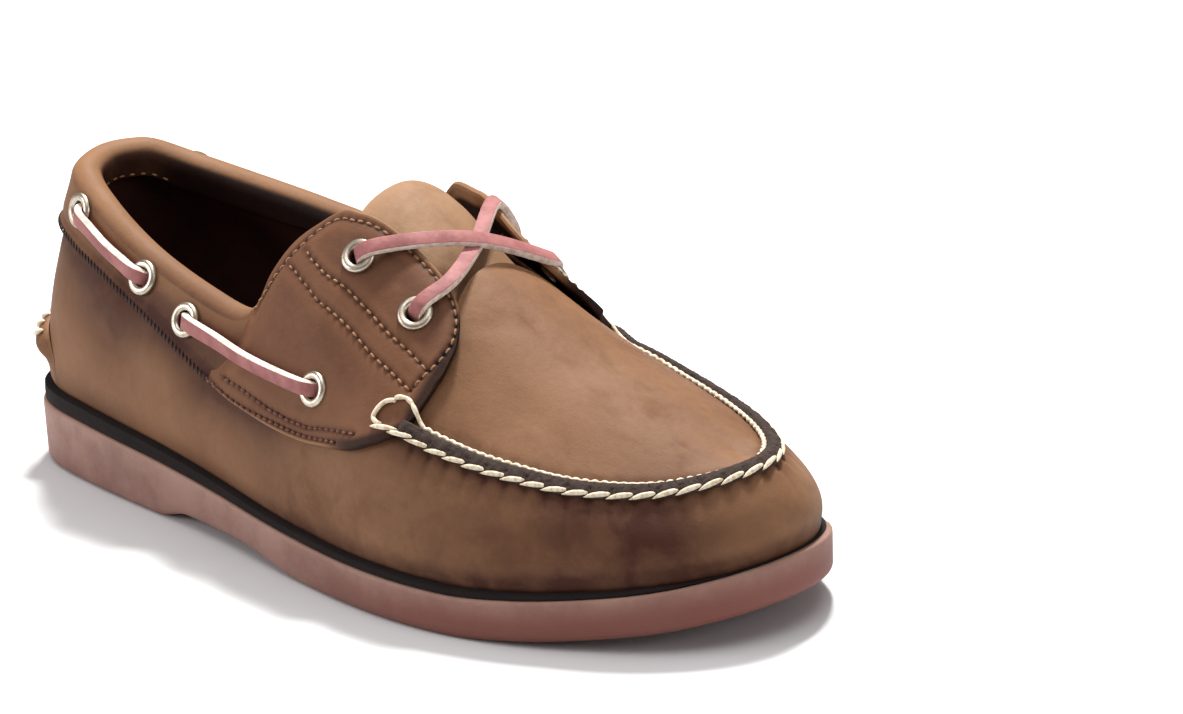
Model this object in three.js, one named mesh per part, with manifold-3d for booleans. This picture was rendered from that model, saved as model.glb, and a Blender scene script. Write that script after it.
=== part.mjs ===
// A right boat shoe: rubber outsole, leather midsole, hand-sewn moccasin upper and leather laces.
// Millimetres, +X to the toe, +Y to the medial side, +Z up.
import * as THREE from 'three';
import Module from 'manifold-3d';
import { mergeVertices } from 'three/addons/utils/BufferGeometryUtils.js';

const wasm = await Module();
wasm.setup();

// Driving sizes of the last and the sole
const soleLength = 300;
const ballWidth = 112;
const outsoleHeel = 20;
const outsoleForepart = 13.2;
const archLift = 3.5;
const toeSpring = 11;
const midsoleHeel = 6.4;
const midsoleForepart = 3.6;
const soleEdgeRound = 1.6;

// Driving sizes of the upper, each height taken from the midsole's top
const heelHeight = 72.5;
const instepHeight = 95;
const toeHeight = 22;
const wall = 2;
const collarPad = 7;
const featherInset = 3.2;
const heelBelly = 1.5;
const toeBelly = 2.5;

// Driving sizes of the loose and sewn pieces
const insoleThickness = 3;
const tongueThickness = 2;
const bandThickness = 1.2;
const flapThickness = 2.2;
const seamWidth = 6.4;
const seamHeight = 2.4;
const heelTabThickness = 1.8;
const heelTabFlare = 2.6;
const laceWidth = 3.8;
const laceThickness = 2.2;
const eyeletHole = 5.4;
const eyeletFlange = 10.4;
const eyeletRim = 1.1;
const eyeletTube = 0.5;
const seat = 0.3;
const overlaySeat = 0.6;

// Names of the sections, from the heel's back to the tip of the toe, in the order of every table below
const throat = 7 + 1 / 3;
const toeTip = 12;
const sectionsAround = 2 * toeTip;

// Outline of the sole's rim: x in shares of soleLength, lateral and medial in shares of ballWidth
const outline = [
  { at: 'heel back', x: 0.0, lateral: -0.01, medial: -0.01 },
  { at: 'heel corner', x: 0.027, lateral: -0.196, medial: 0.17 },
  { at: 'heel side', x: 0.1, lateral: -0.281, medial: 0.281 },
  { at: 'heel breast', x: 0.233, lateral: -0.344, medial: 0.326 },
  { at: 'collar dip', x: 0.373, lateral: -0.406, medial: 0.33 },
  { at: 'flap rear', x: 0.437, lateral: -0.446, medial: 0.344 },
  { at: 'instep', x: 0.5, lateral: -0.482, medial: 0.366 },
  { at: 'throat', x: 0.613, lateral: -0.531, medial: 0.424 },
  { at: 'ball', x: 0.71, lateral: -0.531, medial: 0.469 },
  { at: 'forefoot', x: 0.8, lateral: -0.478, medial: 0.473 },
  { at: 'toe side', x: 0.873, lateral: -0.393, medial: 0.437 },
  { at: 'toe corner', x: 0.952, lateral: -0.246, medial: 0.342 },
  { at: 'toe tip', x: 1.0, lateral: 0.107, medial: 0.107 },
];

// Sole from heel to toe: x in shares of soleLength, heel is the share of the heel's extra height,
// arch the share of archLift and spring the share of toeSpring
const lengthwise = [
  { x: 0.0, heel: 1.0, arch: 0.0, spring: 0.0 },
  { x: 0.1, heel: 0.97, arch: 0.0, spring: 0.0 },
  { x: 0.2, heel: 0.83, arch: 0.0, spring: 0.0 },
  { x: 0.248, heel: 0.73, arch: 0.0, spring: 0.0 },
  { x: 0.3, heel: 0.57, arch: 1.0, spring: 0.0 },
  { x: 0.4, heel: 0.27, arch: 0.95, spring: 0.0 },
  { x: 0.505, heel: 0.08, arch: 0.0, spring: 0.0 },
  { x: 0.6, heel: 0.01, arch: 0.0, spring: 0.0 },
  { x: 0.72, heel: 0.0, arch: 0.0, spring: 0.0 },
  { x: 0.8, heel: 0.0, arch: 0.0, spring: 0.13 },
  { x: 0.87, heel: 0.0, arch: 0.0, spring: 0.34 },
  { x: 0.93, heel: 0.0, arch: 0.0, spring: 0.58 },
  { x: 0.97, heel: 0.0, arch: 0.0, spring: 0.8 },
  { x: 1.0, heel: 0.0, arch: 0.0, spring: 1.0 },
];

// Line of the collar band's lower edge, which runs on as the moccasin seam round the toe.
// Its height is a share of heelHeight plus a share of toeHeight.
const bandLine = [
  { at: 'heel back', x: 0.045, lateral: -0.004, medial: -0.004, latHeel: 0.73, medHeel: 0.73, toe: 0 },
  { at: 'heel corner', x: 0.063, lateral: -0.152, medial: 0.148, latHeel: 0.725, medHeel: 0.725, toe: 0 },
  { at: 'heel side', x: 0.117, lateral: -0.228, medial: 0.245, latHeel: 0.67, medHeel: 0.69, toe: 0 },
  { at: 'heel breast', x: 0.24, lateral: -0.304, medial: 0.313, latHeel: 0.54, medHeel: 0.57, toe: 0 },
  { at: 'collar dip', x: 0.377, lateral: -0.362, medial: 0.348, latHeel: 0.385, medHeel: 0.425, toe: 0 },
  { at: 'flap rear', x: 0.437, lateral: -0.388, medial: 0.357, latHeel: 0.19, medHeel: 0.23, toe: 0.65 },
  { at: 'instep', x: 0.5, lateral: -0.411, medial: 0.371, latHeel: 0.0, medHeel: 0.04, toe: 1.37 },
  { at: 'throat', x: 0.603, lateral: -0.429, medial: 0.393, latHeel: 0.0, medHeel: 0.02, toe: 1.75 },
  { at: 'ball', x: 0.7, lateral: -0.411, medial: 0.406, latHeel: 0.0, medHeel: 0.05, toe: 1.52 },
  { at: 'forefoot', x: 0.78, lateral: -0.366, medial: 0.388, latHeel: 0.0, medHeel: 0.05, toe: 1.3 },
  { at: 'toe side', x: 0.847, lateral: -0.304, medial: 0.344, latHeel: 0.0, medHeel: 0.05, toe: 1.12 },
  { at: 'toe corner', x: 0.917, lateral: -0.174, medial: 0.25, latHeel: 0.0, medHeel: 0.035, toe: 1.0 },
  { at: 'toe tip', x: 0.963, lateral: 0.089, medial: 0.089, latHeel: 0.0, medHeel: 0.0, toe: 1.05 },
];

// Top of each section: the collar's crest from the heel to the dip, the flaps' rear edge, and then
// the ridge along the instep and the toe plug. Its height is a share of heelHeight plus one of instepHeight.
const topLine = [
  { at: 'heel back', x: 0.061, lateral: 0.009, medial: 0.009, latHeel: 1.0, medHeel: 1.0, instep: 0 },
  { at: 'heel corner', x: 0.077, lateral: -0.121, medial: 0.134, latHeel: 0.99, medHeel: 0.99, instep: 0 },
  { at: 'heel side', x: 0.13, lateral: -0.196, medial: 0.232, latHeel: 0.915, medHeel: 0.91, instep: 0 },
  { at: 'heel breast', x: 0.25, lateral: -0.25, medial: 0.304, latHeel: 0.76, medHeel: 0.845, instep: 0 },
  { at: 'collar dip', x: 0.373, lateral: -0.286, medial: 0.339, latHeel: 0.715, medHeel: 0.82, instep: 0 },
  { at: 'flap rear', x: 0.437, lateral: -0.179, medial: 0.214, latHeel: 0.0, medHeel: 0.0, instep: 0.825 },
  { at: 'instep', x: 0.5, lateral: 0.036, medial: 0.036, latHeel: 0.0, medHeel: 0.0, instep: 0.955 },
  { at: 'throat', x: 0.597, lateral: 0.027, medial: 0.027, latHeel: 0.0, medHeel: 0.0, instep: 0.815 },
  { at: 'ball', x: 0.68, lateral: 0.027, medial: 0.027, latHeel: 0.0, medHeel: 0.0, instep: 0.675 },
  { at: 'forefoot', x: 0.75, lateral: 0.036, medial: 0.036, latHeel: 0.0, medHeel: 0.0, instep: 0.56 },
  { at: 'toe side', x: 0.81, lateral: 0.049, medial: 0.049, latHeel: 0.0, medHeel: 0.0, instep: 0.475 },
  { at: 'toe corner', x: 0.87, lateral: 0.067, medial: 0.067, latHeel: 0.0, medHeel: 0.0, instep: 0.385 },
  { at: 'toe tip', x: 0.92, lateral: 0.08, medial: 0.08, latHeel: 0.0, medHeel: 0.0, instep: 0.29 },
];

// Fullness of each section: belly blends heelBelly (0) to toeBelly (1); the tilts are degrees from
// upright of the wall below the band line, of the leather above it, and at the top
const fullness = [
  { at: 'heel back', belly: 0, below: 12, above: 14, top: 10 },
  { at: 'heel corner', belly: 0, below: 12, above: 14, top: 10 },
  { at: 'heel side', belly: 0, below: 12, above: 14, top: 12 },
  { at: 'heel breast', belly: 0.3, below: 12, above: 16, top: 14 },
  { at: 'collar dip', belly: 0.6, below: 14, above: 14, top: 18 },
  { at: 'flap rear', belly: 0.7, below: 16, above: 10, top: 50 },
  { at: 'instep', belly: 0.8, below: 20, above: 12, top: 86 },
  { at: 'throat', belly: 0.9, below: 32, above: 33, top: 90 },
  { at: 'ball', belly: 1, below: 44, above: 51, top: 90 },
  { at: 'forefoot', belly: 1, below: 50, above: 56, top: 90 },
  { at: 'toe side', belly: 1, below: 54, above: 58, top: 90 },
  { at: 'toe corner', belly: 1, below: 55, above: 60, top: 90 },
  { at: 'toe tip', belly: 1, below: 55, above: 62, top: 90 },
];

const up = new THREE.Vector3(0, 0, 1);
const degrees = Math.PI / 180;
const mix = THREE.MathUtils.lerp;
const clamp = THREE.MathUtils.clamp;

// Values at every section round the shoe: heel, lateral side, toe, medial side and back to the heel
function round(table, lateral, medial) {
  const back = table.slice(1, toeTip).reverse();
  return [...table.map(lateral), ...back.map(medial)];
}

// Closed curve through values at given knots, with an even second derivative
function closedSpline(values, knots) {
  const count = values.length;
  const step = (i) => knots[(i % count) + 1] - knots[i % count];
  const rows = values.map((value, i) => {
    const row = new Array(count + 1).fill(0);
    const before = (i + count - 1) % count;
    const after = (i + 1) % count;
    row[before] += step(before);
    row[i] += 2 * (step(before) + step(i));
    row[after] += step(i);
    row[count] = 6 * ((values[after] - value) / step(i) - (value - values[before]) / step(before));
    return row;
  });
  for (let i = 0; i < count; i += 1) {
    for (let j = 0; j < count; j += 1) {
      if (j === i) continue;
      const factor = rows[j][i] / rows[i][i];
      for (let k = i; k <= count; k += 1) rows[j][k] -= factor * rows[i][k];
    }
  }
  const bend = rows.map((row, i) => row[count] / row[i]);
  return (station) => {
    const turn = ((station % count) + count) % count;
    const i = Math.floor(turn);
    const next = (i + 1) % count;
    const h = step(i);
    const b = (turn - i) * h;
    const a = h - b;
    return (bend[i] * a ** 3 + bend[next] * b ** 3) / (6 * h)
      + (values[i] / h - (bend[i] * h) / 6) * a
      + (values[next] / h - (bend[next] * h) / 6) * b;
  };
}

// Curve through values that never swings past them
function steadyCurve(xs, ys, closed) {
  const count = xs.length;
  const slope = xs.map((x, i) => (i + 1 < count ? (ys[i + 1] - ys[i]) / (xs[i + 1] - x) : 0));
  if (closed) slope[count - 1] = slope[0];
  const tangent = xs.map((x, i) => {
    const before = i > 0 ? slope[i - 1] : (closed ? slope[count - 2] : slope[0]);
    const after = i + 1 < count ? slope[i] : (closed ? slope[0] : slope[count - 2]);
    if (before * after <= 0) return 0;
    return (2 * before * after) / (before + after);
  });
  return (x) => {
    let i = 0;
    while (i < count - 2 && x > xs[i + 1]) i += 1;
    const h = xs[i + 1] - xs[i];
    const t = clamp((x - xs[i]) / h, 0, 1);
    return ys[i] * (1 + 2 * t) * (1 - t) ** 2 + tangent[i] * h * t * (1 - t) ** 2
      + ys[i + 1] * t * t * (3 - 2 * t) + tangent[i + 1] * h * t * t * (t - 1);
  };
}

// Knots spaced by the chords of the sole's outline
const rimX = round(outline, (row) => row.x * soleLength, (row) => row.x * soleLength);
const rimY = round(outline, (row) => row.lateral * ballWidth, (row) => row.medial * ballWidth);
const knots = [0];
for (let i = 0; i < sectionsAround; i += 1) {
  const next = (i + 1) % sectionsAround;
  knots.push(knots[i] + Math.hypot(rimX[next] - rimX[i], rimY[next] - rimY[i]));
}
const outlineX = closedSpline(rimX, knots);
const outlineY = closedSpline(rimY, knots);

const along = (key) => steadyCurve(lengthwise.map((row) => row.x * soleLength), lengthwise.map((row) => row[key]));
const heelShare = along('heel');
const archShare = along('arch');
const springShare = along('spring');
const soleFloor = (x) => archLift * archShare(x) + toeSpring * springShare(x);
const outsoleTop = (x) => mix(outsoleForepart, outsoleHeel, heelShare(x)) + toeSpring * springShare(x);
const midsoleTop = (x) => outsoleTop(x) + mix(midsoleForepart, midsoleHeel, heelShare(x));

// Station: 0 at the heel's back, 12 at the toe's tip on the lateral side, and back to 24 on the medial side
const loopTable = (table, lateral, medial) => {
  const values = round(table, lateral, medial);
  values.push(values[0]);
  const curve = steadyCurve(values.map((value, i) => i), values, true);
  return (station) => curve(((station % sectionsAround) + sectionsAround) % sectionsAround);
};
const bandX = closedSpline(round(bandLine, (r) => r.x * soleLength, (r) => r.x * soleLength), knots);
const bandY = closedSpline(round(bandLine, (r) => r.lateral * ballWidth, (r) => r.medial * ballWidth), knots);
const bandUp = loopTable(
  bandLine,
  (r) => r.latHeel * heelHeight + r.toe * toeHeight,
  (r) => r.medHeel * heelHeight + r.toe * toeHeight,
);
const topX = loopTable(topLine, (r) => r.x * soleLength, (r) => r.x * soleLength);
const topY = loopTable(topLine, (r) => r.lateral * ballWidth, (r) => r.medial * ballWidth);
const topUp = loopTable(
  topLine,
  (r) => r.latHeel * heelHeight + r.instep * instepHeight,
  (r) => r.medHeel * heelHeight + r.instep * instepHeight,
);
const even = (key) => loopTable(fullness, (r) => r[key], (r) => r[key]);
const bellyShare = even('belly');
const tiltBelow = even('below');
const tiltAbove = even('above');
const tiltTop = even('top');

// Outward direction of the sole's outline, in plan
function outward(station) {
  const reach = 0.02;
  const dx = outlineX(station + reach) - outlineX(station - reach);
  const dy = outlineY(station + reach) - outlineY(station - reach);
  return new THREE.Vector3(dy, -dx, 0).normalize();
}

// Point of the outline, moved in by an inset, at the height of a function of x
function rimPoint(station, inset, height) {
  const point = new THREE.Vector3(outlineX(station), outlineY(station), 0);
  point.addScaledVector(outward(station), -inset);
  point.z = height(point.x);
  return point;
}

const bandPoint = (station) => {
  const x = bandX(station);
  return new THREE.Vector3(x, bandY(station), midsoleTop(x) + bandUp(station));
};
const topPoint = (station) => {
  const x = topX(station);
  return new THREE.Vector3(x, topY(station), midsoleTop(x) + topUp(station));
};

function bezier(a, b, c, d, t) {
  const s = 1 - t;
  return new THREE.Vector3()
    .addScaledVector(a, s * s * s)
    .addScaledVector(b, 3 * s * s * t)
    .addScaledVector(c, 3 * s * t * t)
    .addScaledVector(d, t * t * t);
}

const leaning = (inward, tilt) => new THREE.Vector3()
  .addScaledVector(inward, Math.sin(tilt * degrees))
  .addScaledVector(up, Math.cos(tilt * degrees));

// The last's surface. Height 0 is the feather edge, 1 the band line or moccasin seam, and 2 the top.
// Past 2, from the instep forward, it runs on down the other side.
const wallHandle = 0.38;
const topHandle = 0.36;
function lastPoint(station, height) {
  if (height > 2) return lastPoint(sectionsAround - station, 4 - height);
  const inward = outward(station).negate();
  const band = bandPoint(station);
  if (height <= 1) {
    const feather = rimPoint(station, featherInset, midsoleTop);
    const rise = band.z - feather.z;
    const belly = mix(heelBelly, toeBelly, bellyShare(station));
    const low = feather.clone().addScaledVector(up, rise * wallHandle).addScaledVector(inward, -belly);
    const high = band.clone().addScaledVector(leaning(inward, tiltBelow(station)), -rise * wallHandle);
    return bezier(feather, low, high, band, height);
  }
  const top = topPoint(station);
  const reach = band.distanceTo(top) * topHandle;
  const across = new THREE.Vector3(top.x - band.x, top.y - band.y, 0).normalize();
  const step = 0.05;
  const ahead = topPoint(station + step);
  const behind = topPoint(station - step);
  const slope = Math.abs(ahead.x - behind.x) > 1e-6 ? (ahead.z - behind.z) / (ahead.x - behind.x) : 0;
  const arrival = leaning(across, tiltTop(station));
  arrival.z += across.x * slope * Math.sin(tiltTop(station) * degrees) ** 2;
  const low = band.clone().addScaledVector(leaning(across, tiltAbove(station)), reach);
  const high = top.clone().addScaledVector(arrival.normalize(), -reach);
  return bezier(band, low, high, top, height - 1);
}

// Outward direction of the last's surface
function lastNormal(station, height) {
  const reach = 0.02;
  const front = Math.min(station, sectionsAround - station) >= 6;
  const upper = front ? height + reach : Math.min(height + reach, 2);
  const lower = Math.max(height - reach, 0);
  const side = lastPoint(station + reach, height).sub(lastPoint(station - reach, height));
  const rise = lastPoint(station, upper).sub(lastPoint(station, lower));
  return side.cross(rise).normalize();
}

const offsetPoint = (station, height, offset) => lastPoint(station, height)
  .addScaledVector(lastNormal(station, height), offset);

// Closed body from a list of points and a list of triangles
function bodyOf(points, triangles) {
  const geometry = new THREE.BufferGeometry();
  const flat = points.flatMap((p) => [p.x, p.y, p.z]);
  geometry.setAttribute('position', new THREE.Float32BufferAttribute(flat, 3));
  geometry.setIndex(triangles.flat());
  return mergeVertices(geometry, 1e-4);
}

// A sheet becomes a solid between its outer and inner points, closed along its free edges
function thicken(outer, inner, triangles) {
  const count = outer.length;
  const seen = new Set();
  triangles.forEach(([a, b, c]) => [[a, b], [b, c], [c, a]].forEach(([p, q]) => seen.add(`${p},${q}`)));
  const faces = [];
  triangles.forEach(([a, b, c]) => {
    faces.push([a, b, c]);
    faces.push([a + count, c + count, b + count]);
    [[a, b], [b, c], [c, a]].forEach(([p, q]) => {
      if (seen.has(`${q},${p}`)) return;
      faces.push([p, p + count, q + count]);
      faces.push([p, q + count, q]);
    });
  });
  return bodyOf([...outer, ...inner], faces);
}

// Two triangles of a four-cornered patch, or one where two of its corners are the same point
function patch(a, b, c, d) {
  return [[a, b, c], [a, c, d]].filter(([p, q, r]) => p !== q && q !== r && r !== p);
}

// Stack of loops round the sole, closed by a ladder of rungs at the bottom and at the top
const columnsPerSection = 3;
const columnCount = sectionsAround * columnsPerSection;
function stackedLoops(levels) {
  const points = levels.flatMap((level) => Array.from(
    { length: columnCount },
    (unused, k) => rimPoint(k / columnsPerSection, level.inset, level.height),
  ));
  const faces = [];
  for (let level = 0; level + 1 < levels.length; level += 1) {
    for (let k = 0; k < columnCount; k += 1) {
      const next = (k + 1) % columnCount;
      const base = level * columnCount;
      faces.push(...patch(base + k, base + next, base + columnCount + next, base + columnCount + k));
    }
  }
  const last = (levels.length - 1) * columnCount;
  for (let k = 0; k < columnCount / 2; k += 1) {
    const mirror = (columnCount - k) % columnCount;
    const before = (columnCount - k - 1) % columnCount;
    faces.push(...patch(k, mirror, before, k + 1));
    faces.push(...patch(last + k, last + k + 1, last + before, last + mirror));
  }
  return bodyOf(points, faces);
}

function outsole() {
  const edge = soleEdgeRound;
  return stackedLoops([
    { inset: 1.5 * edge, height: soleFloor },
    { inset: 0.5 * edge, height: (x) => soleFloor(x) + 0.6 * edge },
    { inset: 0.2 * edge, height: (x) => mix(soleFloor(x), outsoleTop(x), 0.5) },
    { inset: 0, height: (x) => outsoleTop(x) - 0.7 * edge },
    { inset: 0.6 * edge, height: outsoleTop },
  ]);
}

function midsole() {
  const low = featherInset * 0.4;
  const high = featherInset * 0.75;
  const top = (x) => midsoleTop(x) - seat;
  const bottom = (x) => outsoleTop(x) + seat;
  return stackedLoops([
    { inset: low, height: bottom },
    { inset: low, height: (x) => mix(bottom(x), top(x), 0.7) },
    { inset: high, height: top },
  ]);
}

function insole() {
  const inset = featherInset + wall + seat;
  return stackedLoops([
    { inset, height: midsoleTop },
    { inset, height: (x) => midsoleTop(x) + insoleThickness },
  ]);
}

// Rows of the upper: the wall, the band or plug up to the collar's roll, and the roll's angles from its top
const wallRows = [0, 0.22, 0.48, 0.75, 1];
const bandRows = [0.22, 0.48, 0.75, 1];
const rollAngles = [55, 15];
const plugRows = [0.33, 0.67, 1];
const hiddenRim = 1.5;

// Under the flaps the opening's edge drops down the section, and the collar's pad thins to the bare wall
const sectionOf = (station) => Math.min(station, sectionsAround - station);
const padShare = (station) => 1 - THREE.MathUtils.smoothstep(sectionOf(station), 4.4, 5.4);
const rimHeight = (station) => mix(hiddenRim, 2, 1 - THREE.MathUtils.smoothstep(sectionOf(station), 4.4, 6.2));
const rollRadius = (station) => mix(wall, collarPad, padShare(station)) / 2;
const lengthAbove = (station) => lastPoint(station, 1).distanceTo(lastPoint(station, 2));
const rollStart = (station) => rimHeight(station) - rollRadius(station) / lengthAbove(station);

// Point on the collar's roll: 90 degrees is its outer side, 0 its top and -90 its inner side
function rollPoint(station, angle, extra) {
  const height = rollStart(station);
  const radius = rollRadius(station);
  const normal = lastNormal(station, height);
  const rise = lastPoint(station, height).sub(lastPoint(station, height - 0.05)).normalize();
  return lastPoint(station, height)
    .addScaledVector(normal, (radius + extra) * Math.sin(angle * degrees) - radius)
    .addScaledVector(rise, (radius + extra) * Math.cos(angle * degrees));
}

// Outer and inner points of one column of the upper, from the feather edge to the opening's edge
function upperColumn(station) {
  const pad = 2 * rollRadius(station);
  const start = rollStart(station);
  const rows = wallRows.map((height) => [
    offsetPoint(station, height, 0),
    offsetPoint(station, height, -wall),
  ]);
  bandRows.forEach((share) => {
    const height = mix(1, start, share);
    const swell = mix(wall, pad, THREE.MathUtils.smoothstep(share, 0.3, 1));
    rows.push([offsetPoint(station, height, 0), offsetPoint(station, height, -swell)]);
  });
  const bare = THREE.MathUtils.smoothstep(sectionOf(station), 5.4, 6.4);
  rollAngles.forEach((angle) => {
    const height = mix(rimHeight(station), start, angle / 90);
    rows.push([
      rollPoint(station, angle, 0).lerp(offsetPoint(station, height, 0), bare),
      rollPoint(station, -angle, 0).lerp(offsetPoint(station, height, -wall), bare),
    ]);
  });
  return rows;
}

function upper() {
  const outer = [];
  const inner = [];
  const index = new Map();
  const firstPlug = Math.round(throat * columnsPerSection);
  const isPlug = (k) => k >= firstPlug && k <= columnCount - firstPlug;
  const edgeRow = wallRows.length + bandRows.length + rollAngles.length - 1;
  const lastRow = edgeRow + plugRows.length;
  for (let k = 0; k < columnCount; k += 1) {
    const station = k / columnsPerSection;
    const rows = upperColumn(station);
    if (isPlug(k)) {
      plugRows.forEach((share) => {
        const height = mix(rimHeight(station), 2, share);
        rows.push([offsetPoint(station, height, 0), offsetPoint(station, height, -wall)]);
      });
    }
    rows.forEach(([out, inn], row) => {
      if (row === lastRow && k > columnCount / 2) {
        index.set(`${k},${row}`, index.get(`${columnCount - k},${row}`));
        return;
      }
      index.set(`${k},${row}`, outer.length);
      outer.push(out);
      inner.push(inn);
    });
  }
  const corner = (column, row) => index.get(`${column},${row}`);
  const faces = [];
  for (let k = 0; k < columnCount; k += 1) {
    const next = (k + 1) % columnCount;
    const rows = isPlug(k) && isPlug(next) ? lastRow : edgeRow;
    for (let row = 0; row < rows; row += 1) {
      faces.push(...patch(corner(k, row), corner(next, row), corner(next, row + 1), corner(k, row + 1)));
    }
  }
  return thicken(outer, inner, faces);
}

// Sheet laid over the last by columns and rows; place gives the outer and inner point of each crossing
function sheetBetween(columns, rows, place) {
  const outer = [];
  const inner = [];
  const faces = [];
  columns.forEach((column, i) => rows.forEach((row, j) => {
    const [out, inn] = place(column, row);
    outer.push(out);
    inner.push(inn);
    if (i === 0 || j === 0) return;
    const here = i * rows.length + j;
    faces.push(...patch(here - rows.length - 1, here - 1, here, here - rows.length));
  }));
  return thicken(outer, inner, faces);
}

const evenSteps = (from, to, count) => Array.from({ length: count + 1 }, (unused, i) => mix(from, to, i / count));
const onSide = (station, side) => (side === 'medial' ? sectionsAround - station : station);

// Tongue: station of each section, its width either side of the ridge as shares of the way to the
// band line, how far the crown stands off the last, and where it begins to fall on the lateral side
const tongueSections = [
  { station: 5.55, lateral: 0.2, medial: 0.26, crown: 3.6, shoulder: 0.03 },
  { station: 5.68, lateral: 0.36, medial: 0.36, crown: 3.6, shoulder: 0.06 },
  { station: 5.9, lateral: 0.48, medial: 0.42, crown: 3.4, shoulder: 0.11 },
  { station: 6.2, lateral: 0.56, medial: 0.46, crown: 2.6, shoulder: 0.16 },
  { station: 6.5, lateral: 0.6, medial: 0.52, crown: 1.2, shoulder: 0.2 },
  { station: 6.8, lateral: 0.62, medial: 0.58, crown: -0.6, shoulder: 0.2 },
  { station: 7.1, lateral: 0.62, medial: 0.62, crown: -2.6, shoulder: 0.2 },
  { station: 7.5, lateral: 0.62, medial: 0.62, crown: -2.6, shoulder: 0.2 },
  { station: 8.0, lateral: 0.6, medial: 0.6, crown: -2.6, shoulder: 0.2 },
];
const tongueAcross = [-1, -0.8, -0.55, -0.25, 0, 0.25, 0.55, 0.8, 1];
function tongue() {
  const under = -wall - 2 * seat;
  return sheetBetween(tongueSections, tongueAcross, (section, across) => {
    const side = across > 0 ? 'medial' : 'lateral';
    const away = section[side] * Math.abs(across);
    const beside = Math.min(section.crown, -2 * seat);
    const [falls, settles] = side === 'medial' ? [0.22, 0.52] : [0.01, section.shoulder];
    const slope = mix(section.crown, beside, THREE.MathUtils.smoothstep(away, falls, settles));
    const sink = side === 'medial' ? THREE.MathUtils.smoothstep(section.station, 6.0, 6.6) : 1;
    const top = mix(slope, under, sink * THREE.MathUtils.smoothstep(away, 0.3, 0.46));
    const station = onSide(section.station, side);
    return [offsetPoint(station, 2 - away, top), offsetPoint(station, 2 - away, top - tongueThickness)];
  });
}

// Collar band: round the heel from flap to flap, from the band line over the collar's roll.
// Its columns are the upper's own, and the last two on either side lean to the flap's edge.
const bandFrontLow = 3.65;
const bandFrontHigh = 4.22;
const uprightColumns = 9;
const leaningColumns = 2;
const bandGap = 0.03;
const bandEndLift = 1;
function collarBand() {
  const reach = uprightColumns + leaningColumns;
  const columns = evenSteps(-reach, reach, 2 * reach);
  const flat = [0, ...bandRows].map((share) => ({ share }));
  const rolled = rollAngles.map((angle) => ({ angle }));
  return sheetBetween(columns, [...flat, ...rolled], (column, { share = 1, angle = 90 }) => {
    const beyond = Math.max(Math.abs(column) - uprightColumns, 0) / leaningColumns;
    const upright = Math.min(Math.abs(column), uprightColumns) / columnsPerSection;
    const front = mix(bandFrontLow, bandFrontHigh, 0.93 * share) - bandGap;
    const section = mix(upright, front, beyond);
    const station = column < 0 ? sectionsAround - section : section;
    const clear = overlaySeat + bandEndLift * share * beyond ** 3;
    const offsets = [clear + bandThickness, clear];
    if (angle < 90) return offsets.map((offset) => rollPoint(station, angle, offset));
    return offsets.map((offset) => offsetPoint(station, mix(1, rollStart(station), share), offset));
  });
}

// Eyestay flap: stations and heights of its lower and upper edges from the collar to its front,
// how far its upper edge lifts off the tongue, in shares of the flap's lift, and how much lower
// that edge runs on the medial side
const flapEdges = [
  { low: 3.65, lowHeight: 1.0, high: 4.22, highHeight: 1.97, lift: 0, short: 0 },
  { low: 4.1, lowHeight: 0.98, high: 4.6, highHeight: 1.98, lift: 0, short: 0 },
  { low: 4.55, lowHeight: 0.96, high: 4.97, highHeight: 1.98, lift: 0.1, short: 0.12 },
  { low: 5.0, lowHeight: 0.94, high: 5.28, highHeight: 1.97, lift: 0.3, short: 0.22 },
  { low: 5.45, lowHeight: 0.915, high: 5.6, highHeight: 1.92, lift: 0.7, short: 0.22 },
  { low: 5.9, lowHeight: 0.885, high: 6.0, highHeight: 1.82, lift: 1, short: 0.17 },
  { low: 6.35, lowHeight: 0.84, high: 6.45, highHeight: 1.78, lift: 1, short: 0.15 },
  { low: 6.8, lowHeight: 0.8, high: 6.85, highHeight: 1.76, lift: 0.9, short: 0.14 },
  { low: 7.15, lowHeight: 0.88, high: 7.25, highHeight: 1.705, lift: 0.8, short: 0.12 },
  { low: 7.38, lowHeight: 1.0, high: 7.49, highHeight: 1.6, lift: 0.7, short: 0.08 },
  { low: 7.5, lowHeight: 1.1, high: 7.59, highHeight: 1.475, lift: 0.6, short: 0.04 },
  { low: 7.55, lowHeight: 1.22, high: 7.6, highHeight: 1.36, lift: 0.5, short: 0 },
];
const flapLift = { lateral: 1.2, medial: 5 };
const flapColumn = (key) => {
  const curve = steadyCurve(flapEdges.map((row, i) => i), flapEdges.map((row) => row[key]));
  return (share) => curve(share * (flapEdges.length - 1));
};
const flapLow = flapColumn('low');
const flapLowHeight = flapColumn('lowHeight');
const flapHigh = flapColumn('high');
const flapHighHeight = flapColumn('highHeight');
const flapRise = flapColumn('lift');
const flapShort = flapColumn('short');

// Flap's place along its length and up its width, as a station, a height and a clearance off the last
function flapPlace(along, across, side) {
  const upperEdge = flapHighHeight(along) - (side === 'medial' ? flapShort(along) : 0);
  return {
    station: onSide(mix(flapLow(along), flapHigh(along), across), side),
    height: mix(flapLowHeight(along), upperEdge, across),
    clear: overlaySeat + flapLift[side] * flapRise(along) * across ** 3,
  };
}
function flapPoint(along, across, side, above) {
  const { station, height, clear } = flapPlace(along, across, side);
  return offsetPoint(station, height, clear + above);
}
const flapRows = [0, 0.12, 0.26, 0.42, 0.58, 0.74, 0.88, 1];
function eyestay(side) {
  const columns = evenSteps(0, 1, 13);
  const rows = side === 'medial' ? flapRows.slice().reverse() : flapRows;
  return sheetBetween(columns, rows, (column, row) => [
    flapPoint(column, row, side, flapThickness),
    flapPoint(column, row, side, 0),
  ]);
}

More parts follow.
